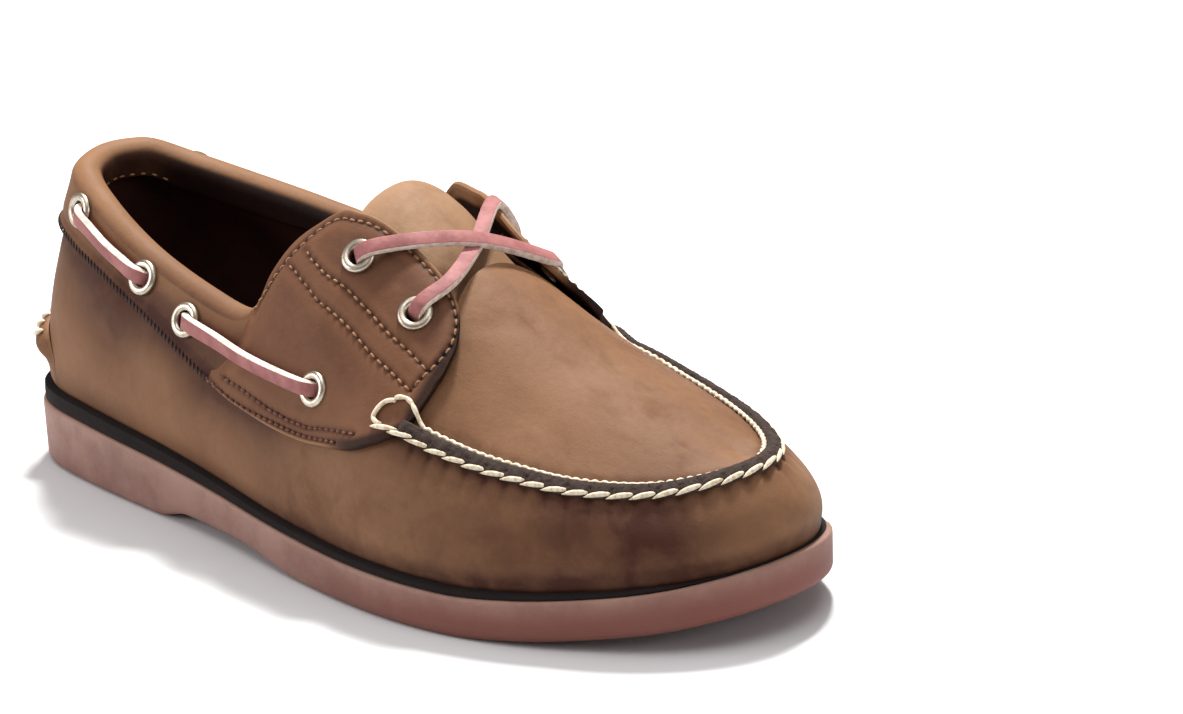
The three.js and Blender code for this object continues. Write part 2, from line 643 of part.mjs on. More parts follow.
// Raised seam of the toe plug, from flap to flap: distance up from the moccasin seam, and height
const seamSection = [
  { up: 0.0, rise: 0.35 },
  { up: 0.2, rise: 1.0 },
  { up: 0.75, rise: 0.95 },
  { up: 1.0, rise: 0.3 },
];
const seamStart = 7.72;
function apronSeam() {
  const columns = evenSteps(seamStart, sectionsAround - seamStart, 34);
  return sheetBetween(columns, seamSection, (station, { up: share, rise }) => {
    const height = 1 + (share * seamWidth) / lengthAbove(station);
    return [offsetPoint(station, height, seat + rise * seamHeight), offsetPoint(station, height, seat)];
  });
}

// Tab of the moccasin's bottom turned up on the heel: its upper edge stands out where it is sewn
const heelTabColumns = [
  { station: -1.25, top: 0.16 },
  { station: -1.0, top: 0.27 },
  { station: -0.7, top: 0.32 },
  { station: -0.35, top: 0.34 },
  { station: 0, top: 0.345 },
  { station: 0.35, top: 0.34 },
  { station: 0.7, top: 0.32 },
  { station: 1.0, top: 0.27 },
  { station: 1.25, top: 0.16 },
];
function heelTab() {
  const rows = [0.06, 0.45, 0.8, 1];
  return sheetBetween(heelTabColumns, rows, ({ station, top }, row) => {
    const turn = (station + sectionsAround) % sectionsAround;
    const clear = seat + heelTabFlare * row ** 3;
    const height = top * row;
    return [offsetPoint(turn, height, clear + heelTabThickness), offsetPoint(turn, height, clear)];
  });
}

// Eyelets: station and height on the last at either side, and the piece that each one is set in
const eyelets = [
  { name: 'heel', on: 'band', lateral: [1.85, 1.62], medial: [1.85, 1.6] },
  { name: 'side', on: 'band', lateral: [2.87, 1.56], medial: [2.87, 1.53] },
  { name: 'waist', on: 'band', lateral: [3.42, 1.495], medial: [3.42, 1.47] },
  { name: 'flap_low', on: 'flap', lateral: [6.2, 1.138], medial: [6.2, 1.13] },
  { name: 'flap_rear', on: 'flap', lateral: [6.22, 1.626], medial: [6.42, 1.48] },
  { name: 'flap_front', on: 'flap', lateral: [7.03, 1.522], medial: [7.08, 1.46] },
];
const eyeletNamed = (name) => eyelets.find((eyelet) => eyelet.name === name);

// Place on a flap that is nearest to a section and height of the last
function nearestOnFlap(section, height, side) {
  let best = { miss: Infinity };
  evenSteps(0, 1, 60).forEach((share) => evenSteps(0, 1, 20).forEach((across) => {
    const place = flapPlace(share, across, side);
    const miss = Math.hypot(place.station - onSide(section, side), place.height - height);
    if (miss < best.miss) best = { miss, share, across, clear: place.clear };
  }));
  return best;
}

// Frame of an eyelet: the middle of its flange's underside, and the way it faces
function eyeletFrame(eyelet, side) {
  const [section, height] = eyelet[side];
  if (eyelet.on === 'band') {
    const station = onSide(section, side);
    const seatPoint = offsetPoint(station, height, overlaySeat + bandThickness + 1.5 * seat);
    return { facing: lastNormal(station, height), seatPoint, depth: bandThickness };
  }
  const { share, across } = nearestOnFlap(section, height, side);
  const reach = 0.04;
  const run = flapPoint(share + reach, across, side, flapThickness)
    .sub(flapPoint(share - reach, across, side, flapThickness));
  const rise = flapPoint(share, across + reach, side, flapThickness)
    .sub(flapPoint(share, across - reach, side, flapThickness));
  const facing = side === 'medial' ? rise.cross(run).normalize() : run.cross(rise).normalize();
  const seatPoint = flapPoint(share, across, side, flapThickness).addScaledVector(facing, 1.5 * seat);
  return { facing, seatPoint, depth: flapThickness };
}

function turnedTo(geometry, { facing, seatPoint }) {
  const turn = new THREE.Quaternion().setFromUnitVectors(new THREE.Vector3(0, 1, 0), facing);
  return geometry.applyQuaternion(turn).translate(seatPoint.x, seatPoint.y, seatPoint.z);
}

function eyeletRing(frame) {
  const hole = eyeletHole / 2;
  const tube = hole + eyeletTube;
  const flange = eyeletFlange / 2;
  const profile = [
    new THREE.Vector2(hole, -frame.depth),
    new THREE.Vector2(tube, -frame.depth),
    new THREE.Vector2(tube, 0),
    new THREE.Vector2(flange, 0),
    new THREE.Vector2(mix(hole, flange, 0.6), eyeletRim),
    new THREE.Vector2(hole, 0.5 * eyeletRim),
    new THREE.Vector2(hole, -frame.depth),
  ];
  return turnedTo(plain(new THREE.LatheGeometry(profile, 10)), frame);
}

// Geometry with positions alone, its shared vertices merged
function plain(geometry) {
  geometry.deleteAttribute('normal');
  geometry.deleteAttribute('uv');
  return mergeVertices(geometry, 1e-4);
}

function solid(geometry) {
  return new wasm.Manifold(new wasm.Mesh({
    numProp: 3,
    vertProperties: new Float32Array(geometry.attributes.position.array),
    triVerts: new Uint32Array(geometry.index.array),
  }));
}

function fromSolid(manifold) {
  const mesh = manifold.getMesh();
  const geometry = new THREE.BufferGeometry();
  geometry.setAttribute('position', new THREE.BufferAttribute(mesh.vertProperties, 3));
  geometry.setIndex(new THREE.BufferAttribute(mesh.triVerts, 1));
  return geometry;
}

// Round holes through a piece at the given eyelet frames
const drillLength = 16;
function pierced(geometry, frames) {
  const radius = eyeletHole / 2 + eyeletTube + seat;
  const body = frames.reduce((rest, frame) => {
    const drill = turnedTo(plain(new THREE.CylinderGeometry(radius, radius, drillLength, 12)), frame);
    return rest.subtract(solid(drill));
  }, solid(geometry));
  return fromSolid(body);
}

// Flat strap with rounded edges along points, each with the way that its face looks
function strap(points, faces) {
  const w = laceWidth / 2;
  const t = laceThickness / 2;
  const soft = laceThickness * 0.28;
  const section = [
    [-w + soft, -t], [w - soft, -t], [w, -t + soft], [w, t - soft],
    [w - soft, t], [-w + soft, t], [-w, t - soft], [-w, -t + soft],
  ];
  const ring = section.length;
  const corners = points.flatMap((point, i) => {
    const ahead = points[Math.min(i + 1, points.length - 1)];
    const behind = points[Math.max(i - 1, 0)];
    const run = ahead.clone().sub(behind).normalize();
    const across = faces[i].clone().cross(run).normalize();
    const out = run.clone().cross(across);
    return section.map(([u, v]) => point.clone().addScaledVector(across, u).addScaledVector(out, v));
  });
  const triangles = [];
  for (let i = 0; i + 1 < points.length; i += 1) {
    for (let j = 0; j < ring; j += 1) {
      const next = (j + 1) % ring;
      const base = i * ring;
      triangles.push(...patch(base + j, base + next, base + ring + next, base + ring + j));
    }
  }
  const last = (points.length - 1) * ring;
  for (let j = 1; j + 1 < ring; j += 1) {
    triangles.push([0, j + 1, j]);
    triangles.push([last, last + j, last + j + 1]);
  }
  return bodyOf(corners, triangles);
}

// Lace's place over an eyelet, clear of its rim, and the way that its face looks there
const heldAt = ({ facing, seatPoint }) => ({
  facing,
  point: seatPoint.clone().addScaledVector(facing, eyeletRim + overlaySeat + laceThickness / 2),
});

// Lace between places given as a section, a way over the last (2 is the ridge) and a point in space:
// straight from point to point, but pushed out where it would come nearer than its clearance
function laceOver(places, steps, clearance) {
  const points = [];
  const faces = [];
  for (let leg = 0; leg + 1 < places.length; leg += 1) {
    const [from, to] = [places[leg], places[leg + 1]];
    evenSteps(0, 1, steps).slice(leg ? 1 : 0).forEach((share) => {
      const section = mix(from.section, to.section, share);
      const travel = mix(from.travel, to.travel, share);
      const normal = lastNormal(section, travel);
      const point = from.point.clone().lerp(to.point, share);
      const stands = point.clone().sub(lastPoint(section, travel)).dot(normal);
      const ring = Math.min(...places.filter((place) => place.facing).map((place) => place.point.distanceTo(point)));
      const rim = (eyeletRim + 1.5 * seat) * (1 - THREE.MathUtils.smoothstep(ring, 5.5, 9));
      const least = clearance(section, travel) + rim + seat + laceThickness / 2;
      const held = share % 1 === 0 && places[leg + share].facing;
      points.push(point.addScaledVector(normal, Math.max(least - stands, 0)));
      faces.push(held || normal);
    });
  }
  return strap(points, faces);
}

// Lace along the side between two eyelets, sagging a little from the straight
function sideLace(side, names, thickness) {
  const places = names.map((name) => {
    const eyelet = eyeletNamed(name);
    const [section, travel] = eyelet[side];
    return { section: onSide(section, side), travel, ...heldAt(eyeletFrame(eyelet, side)) };
  });
  return laceOver(places, 8, () => overlaySeat + thickness);
}

// Front lace from a lateral eyelet over the tongue to a medial one
const crossingSection = 6.95;
const nearFlap = 0.12;
function frontLace(fromName, toName, layer) {
  const from = eyeletNamed(fromName);
  const to = eyeletNamed(toName);
  const middle = offsetPoint(crossingSection, 2, seat + laceThickness * (0.5 + layer));
  const places = [
    { section: from.lateral[0], travel: from.lateral[1], ...heldAt(eyeletFrame(from, 'lateral')) },
    { section: crossingSection, travel: 2, point: middle },
    { section: to.medial[0], travel: 4 - to.medial[1], ...heldAt(eyeletFrame(to, 'medial')) },
  ];
  return laceOver(places, 8, (section, travel) => {
    const side = travel > 2 ? 'medial' : 'lateral';
    const { miss, clear } = nearestOnFlap(section, travel > 2 ? 4 - travel : travel, side);
    return (clear + flapThickness) * (1 - THREE.MathUtils.smoothstep(miss, nearFlap, 2.4 * nearFlap));
  });
}

const leatherBrown = { color: 0x8a6248, roughness: 0.75, metalness: 0 };
const edgeBrown = { color: 0x4d3a30, roughness: 0.8, metalness: 0 };
const midsoleBrown = { color: 0x2e1e16, roughness: 0.6, metalness: 0 };
const gumRubber = { color: 0x8c5348, roughness: 0.5, metalness: 0 };
const liningBrown = { color: 0x4a3022, roughness: 0.85, metalness: 0 };
const lacePink = { color: 0xb47c7a, roughness: 0.7, metalness: 0 };
const paleNickel = { color: 0xcfc4ae, roughness: 0.3, metalness: 1 };

// The shoe is placed with the middle of its box over the origin
const boxMiddleX = 149.9;
const boxMiddleY = -3.34;
const shoe = new THREE.Group();
function add(name, geometry, finish) {
  geometry.translate(-boxMiddleX, -boxMiddleY, 0);
  const mesh = new THREE.Mesh(geometry, new THREE.MeshStandardMaterial(finish));
  mesh.name = name;
  shoe.add(mesh);
}

const sides = ['lateral', 'medial'];
const framesOf = (side, piece) => eyelets
  .filter((eyelet) => eyelet.on === piece)
  .map((eyelet) => eyeletFrame(eyelet, side));
const bandFrames = sides.flatMap((side) => framesOf(side, 'band'));

add('outsole', outsole(), gumRubber);
add('midsole', midsole(), midsoleBrown);
add('insole', insole(), liningBrown);
add('upper', upper(), leatherBrown);
add('tongue', tongue(), leatherBrown);
add('collar_band', pierced(collarBand(), bandFrames), leatherBrown);
add('apron_seam', apronSeam(), edgeBrown);
add('heel_tab', heelTab(), leatherBrown);
sides.forEach((side) => {
  add(`eyestay_${side}`, pierced(eyestay(side), framesOf(side, 'flap')), leatherBrown);
  eyelets.forEach((eyelet) => {
    add(`eyelet_${side}_${eyelet.name}`, eyeletRing(eyeletFrame(eyelet, side)), paleNickel);
  });
  add(`lace_${side}_rear`, sideLace(side, ['heel', 'side'], bandThickness), lacePink);
  add(`lace_${side}_front`, sideLace(side, ['waist', 'flap_low'], flapThickness), lacePink);
});
const overLace = solid(frontLace('flap_rear', 'flap_front', 0.9));
const underLace = solid(frontLace('flap_front', 'flap_rear', 0));
add('lace_crossing', fromSolid(overLace.add(underLace)), lacePink);

export default shoe;
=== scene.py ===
"""Boat shoe, right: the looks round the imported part. Millimetres on the last, metres in Blender."""

import math

import bmesh
import bpy
import numpy as np
from mathutils import Matrix


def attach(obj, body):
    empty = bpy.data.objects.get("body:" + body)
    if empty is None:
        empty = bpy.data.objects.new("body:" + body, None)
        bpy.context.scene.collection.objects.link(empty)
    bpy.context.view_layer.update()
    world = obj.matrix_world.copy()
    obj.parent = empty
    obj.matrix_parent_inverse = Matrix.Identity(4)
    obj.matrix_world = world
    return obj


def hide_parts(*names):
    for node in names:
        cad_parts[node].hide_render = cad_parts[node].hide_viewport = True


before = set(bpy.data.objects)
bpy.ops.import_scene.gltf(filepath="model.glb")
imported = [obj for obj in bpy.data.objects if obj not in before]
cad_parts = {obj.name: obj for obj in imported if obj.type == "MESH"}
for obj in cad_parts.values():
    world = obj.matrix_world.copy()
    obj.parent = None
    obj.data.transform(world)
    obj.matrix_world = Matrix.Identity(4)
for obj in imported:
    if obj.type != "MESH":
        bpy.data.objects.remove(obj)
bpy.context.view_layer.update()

# Driving sizes, as in the part's source
SOLE_LENGTH = 300.0
BALL_WIDTH = 112.0
OUTSOLE_HEEL = 20.0
OUTSOLE_FOREPART = 13.2
ARCH_LIFT = 3.5
TOE_SPRING = 11.0
MIDSOLE_HEEL = 6.4
MIDSOLE_FOREPART = 3.6
SOLE_EDGE_ROUND = 1.6
HEEL_HEIGHT = 72.5
INSTEP_HEIGHT = 95.0
TOE_HEIGHT = 22.0
WALL = 2.0
COLLAR_PAD = 7.0
FEATHER_INSET = 3.2
HEEL_BELLY = 1.5
TOE_BELLY = 2.5
INSOLE_THICKNESS = 3.0
TONGUE_THICKNESS = 2.0
BAND_THICKNESS = 1.2
FLAP_THICKNESS = 2.2
SEAM_HEIGHT = 2.4
HEEL_TAB_THICKNESS = 1.8
EYELET_HOLE = 5.4
EYELET_FLANGE = 10.4
EYELET_RIM = 1.1
EYELET_TUBE = 0.5
SEAT = 0.3
OVERLAY_SEAT = 0.6

# Sections round the shoe: 0 at the heel's back, 12 at the toe's tip, and back along the medial side
THROAT = 7 + 1 / 3
TOE_TIP = 12
AROUND = 2 * TOE_TIP

MM = 0.001
BOX_MIDDLE = np.array([149.9, -3.34, 0.0])
UP = np.array([0.0, 0.0, 1.0])

# Outline of the sole's rim: x in shares of SOLE_LENGTH, lateral and medial in shares of BALL_WIDTH
OUTLINE = {
    "x": [0, 0.027, 0.1, 0.233, 0.373, 0.437, 0.5, 0.613, 0.71, 0.8, 0.873, 0.952, 1],
    "lateral": [-0.01, -0.196, -0.281, -0.344, -0.406, -0.446, -0.482, -0.531, -0.531, -0.478, -0.393, -0.246,
                0.107],
    "medial": [-0.01, 0.17, 0.281, 0.326, 0.33, 0.344, 0.366, 0.424, 0.469, 0.473, 0.437, 0.342, 0.107],
}

# Sole from heel to toe: x in shares of SOLE_LENGTH, the rest in shares of their own sizes
LENGTHWISE = {
    "x": [0, 0.1, 0.2, 0.248, 0.3, 0.4, 0.505, 0.6, 0.72, 0.8, 0.87, 0.93, 0.97, 1],
    "heel": [1, 0.97, 0.83, 0.73, 0.57, 0.27, 0.08, 0.01, 0, 0, 0, 0, 0, 0],
    "arch": [0, 0, 0, 0, 1, 0.95, 0, 0, 0, 0, 0, 0, 0, 0],
    "spring": [0, 0, 0, 0, 0, 0, 0, 0, 0, 0.13, 0.34, 0.58, 0.8, 1],
}

# Lower edge of the collar band, which runs on as the moccasin seam; heights in shares of
# HEEL_HEIGHT and TOE_HEIGHT
BAND_LINE = {
    "x": [0.045, 0.063, 0.117, 0.24, 0.377, 0.437, 0.5, 0.603, 0.7, 0.78, 0.847, 0.917, 0.963],
    "lateral": [-0.004, -0.152, -0.228, -0.304, -0.362, -0.388, -0.411, -0.429, -0.411, -0.366, -0.304,
                -0.174, 0.089],
    "medial": [-0.004, 0.148, 0.245, 0.313, 0.348, 0.357, 0.371, 0.393, 0.406, 0.388, 0.344, 0.25, 0.089],
    "lat_heel": [0.73, 0.725, 0.67, 0.54, 0.385, 0.19, 0, 0, 0, 0, 0, 0, 0],
    "med_heel": [0.73, 0.725, 0.69, 0.57, 0.425, 0.23, 0.04, 0.02, 0.05, 0.05, 0.05, 0.035, 0],
    "toe": [0, 0, 0, 0, 0, 0.65, 1.37, 1.75, 1.52, 1.3, 1.12, 1, 1.05],
}

# Top of each section: the collar's crest, then the ridge; heights in shares of HEEL_HEIGHT and INSTEP_HEIGHT
TOP_LINE = {
    "x": [0.061, 0.077, 0.13, 0.25, 0.373, 0.437, 0.5, 0.597, 0.68, 0.75, 0.81, 0.87, 0.92],
    "lateral": [0.009, -0.121, -0.196, -0.25, -0.286, -0.179, 0.036, 0.027, 0.027, 0.036, 0.049, 0.067, 0.08],
    "medial": [0.009, 0.134, 0.232, 0.304, 0.339, 0.214, 0.036, 0.027, 0.027, 0.036, 0.049, 0.067, 0.08],
    "lat_heel": [1, 0.99, 0.915, 0.76, 0.715, 0, 0, 0, 0, 0, 0, 0, 0],
    "med_heel": [1, 0.99, 0.91, 0.845, 0.82, 0, 0, 0, 0, 0, 0, 0, 0],
    "instep": [0, 0, 0, 0, 0, 0.825, 0.955, 0.815, 0.675, 0.56, 0.475, 0.385, 0.29],
}

# Fullness of each section: the belly's share, and the wall's tilts in degrees from upright
FULLNESS = {
    "belly": [0, 0, 0, 0.3, 0.6, 0.7, 0.8, 0.9, 1, 1, 1, 1, 1],
    "below": [12, 12, 12, 12, 14, 16, 20, 32, 44, 50, 54, 55, 55],
    "above": [14, 14, 14, 16, 14, 10, 12, 33, 51, 56, 58, 60, 62],
    "top": [10, 10, 12, 14, 18, 50, 86, 90, 90, 90, 90, 90, 90],
}


def mix(a, b, share):
    return a + (b - a) * share


def smooth(x, low, high):
    """0 below low, 1 above high, and an easy step between them."""
    t = np.clip((np.asarray(x, float) - low) / (high - low), 0, 1)
    return t * t * (3 - 2 * t)


def bell(distance, width):
    """1 at no distance, and a soft fall over a width."""
    return np.exp(-((distance / width) ** 2))


def swelling(distance, size, place, reach):
    """Soft rise of a size round a place; below 0 it is a dip."""
    return size * bell(distance - place, reach)


def hermite(start, end, leaving, arriving, t):
    """Cubic between two values, whose slopes at both ends are given over the whole span."""
    from_start = start * (1 + 2 * t) + leaving * t
    to_end = end * (3 - 2 * t) + arriving * (t - 1)
    return from_start * (1 - t) ** 2 + to_end * t * t


def unit(v):
    return v / np.maximum(np.linalg.norm(v, axis=-1, keepdims=True), 1e-12)


def spread(a, v):
    """A number for each point, times a direction for each point."""
    return np.asarray(a)[..., None] * v


def round_the_shoe(lateral, medial):
    return np.array(list(lateral) + list(medial[1:TOE_TIP])[::-1], float)


def closed_spline(values, knots):
    """Closed curve through values at given knots, with an even second derivative."""
    count = len(values)
    step = np.diff(knots)
    matrix = np.zeros((count, count))
    right = np.zeros(count)
    for i in range(count):
        before, after = (i - 1) % count, (i + 1) % count
        matrix[i, before] += step[before]
        matrix[i, i] += 2 * (step[before] + step[i])
        matrix[i, after] += step[i]
        right[i] = 6 * ((values[after] - values[i]) / step[i] - (values[i] - values[before]) / step[before])
    bend = np.linalg.solve(matrix, right)

    def at(station):
        turn = np.mod(np.asarray(station, float), count)
        i = np.minimum(np.floor(turn).astype(int), count - 1)
        following = (i + 1) % count
        h = step[i]
        b = (turn - i) * h
        a = h - b
        return (
            (bend[i] * a**3 + bend[following] * b**3) / (6 * h)
            + (values[i] / h - bend[i] * h / 6) * a
            + (values[following] / h - bend[following] * h / 6) * b
        )

    return at


def steady_curve(xs, ys, closed=False):
    """Curve through values that never swings past them."""
    xs, ys = np.array(xs, float), np.array(ys, float)
    slope = np.diff(ys) / np.diff(xs)
    before = np.concatenate([[slope[-1] if closed else slope[0]], slope])
    after = np.concatenate([slope, [slope[0] if closed else slope[-1]]])
    product = before * after
    total = np.where(product > 0, before + after, 1)
    tangent = np.where(product > 0, 2 * product / total, 0)

    def at(x):
        x = np.asarray(x, float)
        i = np.clip(np.searchsorted(xs, x, side="left") - 1, 0, len(xs) - 2)
        h = xs[i + 1] - xs[i]
        t = np.clip((x - xs[i]) / h, 0, 1)
        return hermite(ys[i], ys[i + 1], tangent[i] * h, tangent[i + 1] * h, t)

    return at


def scaled(table, key, size):
    return np.array(table[key], float) * size


rim_x = round_the_shoe(scaled(OUTLINE, "x", SOLE_LENGTH), scaled(OUTLINE, "x", SOLE_LENGTH))
rim_y = round_the_shoe(scaled(OUTLINE, "lateral", BALL_WIDTH), scaled(OUTLINE, "medial", BALL_WIDTH))
chords = np.hypot(np.roll(rim_x, -1) - rim_x, np.roll(rim_y, -1) - rim_y)
knots = np.concatenate([[0], np.cumsum(chords)])
outline_x = closed_spline(rim_x, knots)
outline_y = closed_spline(rim_y, knots)


def along_sole(key):
    return steady_curve(scaled(LENGTHWISE, "x", SOLE_LENGTH), LENGTHWISE[key])


heel_share = along_sole("heel")
arch_share = along_sole("arch")
spring_share = along_sole("spring")


def sole_floor(x):
    return ARCH_LIFT * arch_share(x) + TOE_SPRING * spring_share(x)


def outsole_top(x):
    return mix(OUTSOLE_FOREPART, OUTSOLE_HEEL, heel_share(x)) + TOE_SPRING * spring_share(x)


def midsole_top(x):
    return outsole_top(x) + mix(MIDSOLE_FOREPART, MIDSOLE_HEEL, heel_share(x))


EASE_REACH = 0.32
EASE_WEIGHTS = (1, 4, 6, 4, 1)
EASE_STEPS = AROUND * 200


def loop_table(lateral, medial):
    """Closed curve through values round the shoe, with its bends eased a little."""
    values = round_the_shoe(lateral, medial)
    curve = steady_curve(range(AROUND + 1), np.append(values, values[0]), closed=True)
    stations = np.linspace(0, AROUND, EASE_STEPS + 1)
    places = np.linspace(-EASE_REACH, EASE_REACH, len(EASE_WEIGHTS))
    eased = sum(w * curve(np.mod(stations + p, AROUND)) for w, p in zip(EASE_WEIGHTS, places))
    eased /= sum(EASE_WEIGHTS)
    return lambda station: np.interp(np.mod(station, AROUND), stations, eased)


def loop_heights(table, rest, size):
    lateral = scaled(table, "lat_heel", HEEL_HEIGHT) + scaled(table, rest, size)
    medial = scaled(table, "med_heel", HEEL_HEIGHT) + scaled(table, rest, size)
    return loop_table(lateral, medial)


band_xs = scaled(BAND_LINE, "x", SOLE_LENGTH)
top_xs = scaled(TOP_LINE, "x", SOLE_LENGTH)
band_x = closed_spline(round_the_shoe(band_xs, band_xs), knots)
band_y = closed_spline(
    round_the_shoe(scaled(BAND_LINE, "lateral", BALL_WIDTH), scaled(BAND_LINE, "medial", BALL_WIDTH)), knots
)
band_up = loop_heights(BAND_LINE, "toe", TOE_HEIGHT)
top_x = loop_table(top_xs, top_xs)
top_y = loop_table(scaled(TOP_LINE, "lateral", BALL_WIDTH), scaled(TOP_LINE, "medial", BALL_WIDTH))
top_up = loop_heights(TOP_LINE, "instep", INSTEP_HEIGHT)
fullness = {key: loop_table(values, values) for key, values in FULLNESS.items()}


# Half the stretch, in stations and heights, over which a direction is read
REACH = 0.02


def outward(station):
    """Level direction out of the sole's outline."""
    dx = outline_x(station + REACH) - outline_x(station - REACH)
    dy = outline_y(station + REACH) - outline_y(station - REACH)
    return unit(np.stack([dy, -dx, np.zeros_like(dx)], -1))


def rim_point(station, inset, height):
    """Point of the outline, moved in by an inset, at the height of a function of x."""
    station = np.asarray(station, float)
    flat = np.stack([outline_x(station), outline_y(station), np.zeros_like(station)], -1)
    flat = flat - spread(np.broadcast_to(inset, station.shape), outward(station))
    flat[..., 2] = height(flat[..., 0])
    return flat


def band_point(station):
    x = band_x(station)
    return np.stack([x, band_y(station), midsole_top(x) + band_up(station)], -1)


def top_point(station):
    x = top_x(station)
    return np.stack([x, top_y(station), midsole_top(x) + top_up(station)], -1)


def bezier(a, b, c, d, t):
    t = np.asarray(t)[..., None]
    s = 1 - t
    return a * s**3 + b * 3 * s * s * t + c * 3 * s * t * t + d * t**3


def leaning(inward, tilt):
    """Direction that leans inwards from upright by a tilt in degrees."""
    angle = np.radians(tilt)
    return spread(np.sin(angle), inward) + spread(np.cos(angle), UP)


WALL_HANDLE = 0.38
TOP_HANDLE = 0.36


def section_of(station):
    station = np.mod(station, AROUND)
    return np.minimum(station, AROUND - station)


def on_either_side(section, station):
    """Section as a station on the same side of the shoe as another station."""
    return np.where(np.mod(station, AROUND) > TOE_TIP, AROUND - section, section)


def last_point(station, height):
    """The last's surface: height 0 is the feather edge, 1 the band line or moccasin seam and 2 the top. Past
    2, from the instep forward, it runs on down the other side."""
    station, height = np.broadcast_arrays(np.asarray(station, float), np.asarray(height, float))
    over = height > 2
    station = np.where(over, AROUND - station, station)
    height = np.where(over, 4 - height, height)
    inward = -outward(station)
    band = band_point(station)
    feather = rim_point(station, FEATHER_INSET, midsole_top)
    rise = band[..., 2] - feather[..., 2]
    belly = mix(HEEL_BELLY, TOE_BELLY, fullness["belly"](station))
    low = feather + spread(rise * WALL_HANDLE, UP) - spread(belly, inward)
    high = band - spread(rise * WALL_HANDLE, leaning(inward, fullness["below"](station)))
    wall = bezier(feather, low, high, band, np.minimum(height, 1))
    top = top_point(station)
    reach = np.linalg.norm(top - band, axis=-1) * TOP_HANDLE
    across = unit((top - band) * np.array([1, 1, 0]))
    before_tip = on_either_side(np.minimum(section_of(station), TOE_TIP - 0.1), station)
    ahead, behind = top_point(before_tip + 0.05), top_point(before_tip - 0.05)
    run = ahead[..., 0] - behind[..., 0]
    steep = np.abs(run) > 1e-6
    slope = np.where(steep, (ahead[..., 2] - behind[..., 2]) / np.where(steep, run, 1), 0)
    tilt = fullness["top"](station)
    arrival = leaning(across, tilt)
    arrival[..., 2] += across[..., 0] * slope * np.sin(np.radians(tilt)) ** 2
    above_low = band + spread(reach, leaning(across, fullness["above"](station)))
    above_high = top - spread(reach, unit(arrival))
    above = bezier(band, above_low, above_high, top, np.maximum(height, 1) - 1)
    return np.where((height <= 1)[..., None], wall, above)


def last_normal(station, height):
    station, height = np.broadcast_arrays(np.asarray(station, float), np.asarray(height, float))
    front = section_of(station) >= 6
    upper = np.where(front, height + REACH, np.minimum(height + REACH, 2))
    lower = np.maximum(height - REACH, 0)
    side = last_point(station + REACH, height) - last_point(station - REACH, height)
    rise = last_point(station, upper) - last_point(station, lower)
    return unit(np.cross(side, rise))


def offset_point(station, height, offset):
    return last_point(station, height) + spread(np.asarray(offset, float), last_normal(station, height))


# The collar's roll
HIDDEN_RIM = 1.5


def pad_share(station):
    return 1 - smooth(section_of(station), 4.4, 5.4)


def rim_height(station):
    return mix(HIDDEN_RIM, 2, 1 - smooth(section_of(station), 4.4, 6.2))


def roll_radius(station):
    return mix(WALL, COLLAR_PAD, pad_share(station)) / 2


def length_above(station):
    """Straight length from the band line or moccasin seam to the top."""
    return np.linalg.norm(last_point(station, 2) - last_point(station, 1), axis=-1)


def below_line(station, height):
    """Distance down the wall from the band line or moccasin seam."""
    return (1 - height) * np.linalg.norm(last_point(station, 1) - last_point(station, 0.0), axis=-1)


def above_line(station, height):
    """Distance up from the band line or moccasin seam."""
    return (height - 1) * length_above(station)


def roll_start(station):
    return rim_height(station) - roll_radius(station) / length_above(station)


def roll_point(station, angle, extra):
    """Point on the collar's roll: 90 degrees is its outer side, 0 its top and -90 its inner side."""
    height = roll_start(station)
    radius = roll_radius(station)
    normal = last_normal(station, height)
    rise = unit(last_point(station, height) - last_point(station, height - 0.05))
    angle = np.radians(angle)
    out = (radius + extra) * np.sin(angle) - radius
    return last_point(station, height) + spread(out, normal) + spread((radius + extra) * np.cos(angle), rise)


# Eyestay flap: its lower and upper edges from the collar to its front, how far the worn upper edge lifts off
# the tongue on either side, in shares of the flap's lift, and how much lower it runs on the medial side. The
# worn edges differ a little from the solid's, as the photograph shows them.
FLAP = {
    "low": [3.65, 4.1, 4.55, 5.0, 5.45, 5.9, 6.35, 6.8, 7.15, 7.38, 7.5, 7.55],
    "low_height": [1.0, 0.98, 0.96, 0.94, 0.915, 0.885, 0.84, 0.8, 0.88, 1.0, 1.1, 1.22],
    "high": [4.22, 4.6, 4.97, 5.28, 5.6, 6.0, 6.45, 6.85, 7.25, 7.49, 7.59, 7.6],
    "high_height": [1.97, 1.98, 1.98, 1.95, 1.87, 1.79, 1.78, 1.76, 1.705, 1.6, 1.475, 1.36],
    "lateral_lift": [0, 0, 0.3, 0.9, 1.6, 1.7, 1.3, 1, 0.8, 0.7, 0.6, 0.5],
    "medial_lift": [0, 0, 0.1, 0.7, 1.5, 1.35, 0.85, 0.6, 0.42, 0.36, 0.3, 0.3],
    "short": [0, 0, 0.12, 0.19, 0.165, 0.16, 0.12, 0.1, 0.105, 0.1, 0.075, 0.06],
}
FLAP_LIFT = {"lateral": 1.2, "medial": 5.0}
FLAP_LAST = len(FLAP["low"]) - 1
flap_curve = {key: steady_curve(range(FLAP_LAST + 1), values) for key, values in FLAP.items()}


def on_side(station, side):
    return AROUND - station if side == "medial" else station


def flap_place(along, across, side):
    """Station, height and clearance off the last of a place along the flap's length and up its width."""
    at = {key: curve(np.asarray(along) * FLAP_LAST) for key, curve in flap_curve.items()}
    upper = at["high_height"] - (at["short"] if side == "medial" else 0)
    station = on_side(mix(at["low"], at["high"], across), side)
    height = mix(at["low_height"], upper, across)
    lift = FLAP_LIFT[side] * at[f"{side}_lift"]
    return station, height, OVERLAY_SEAT + lift * np.asarray(across) ** 3


def flap_point(along, across, side, above):
    station, height, clear = flap_place(along, across, side)
    return offset_point(station, height, clear + above)


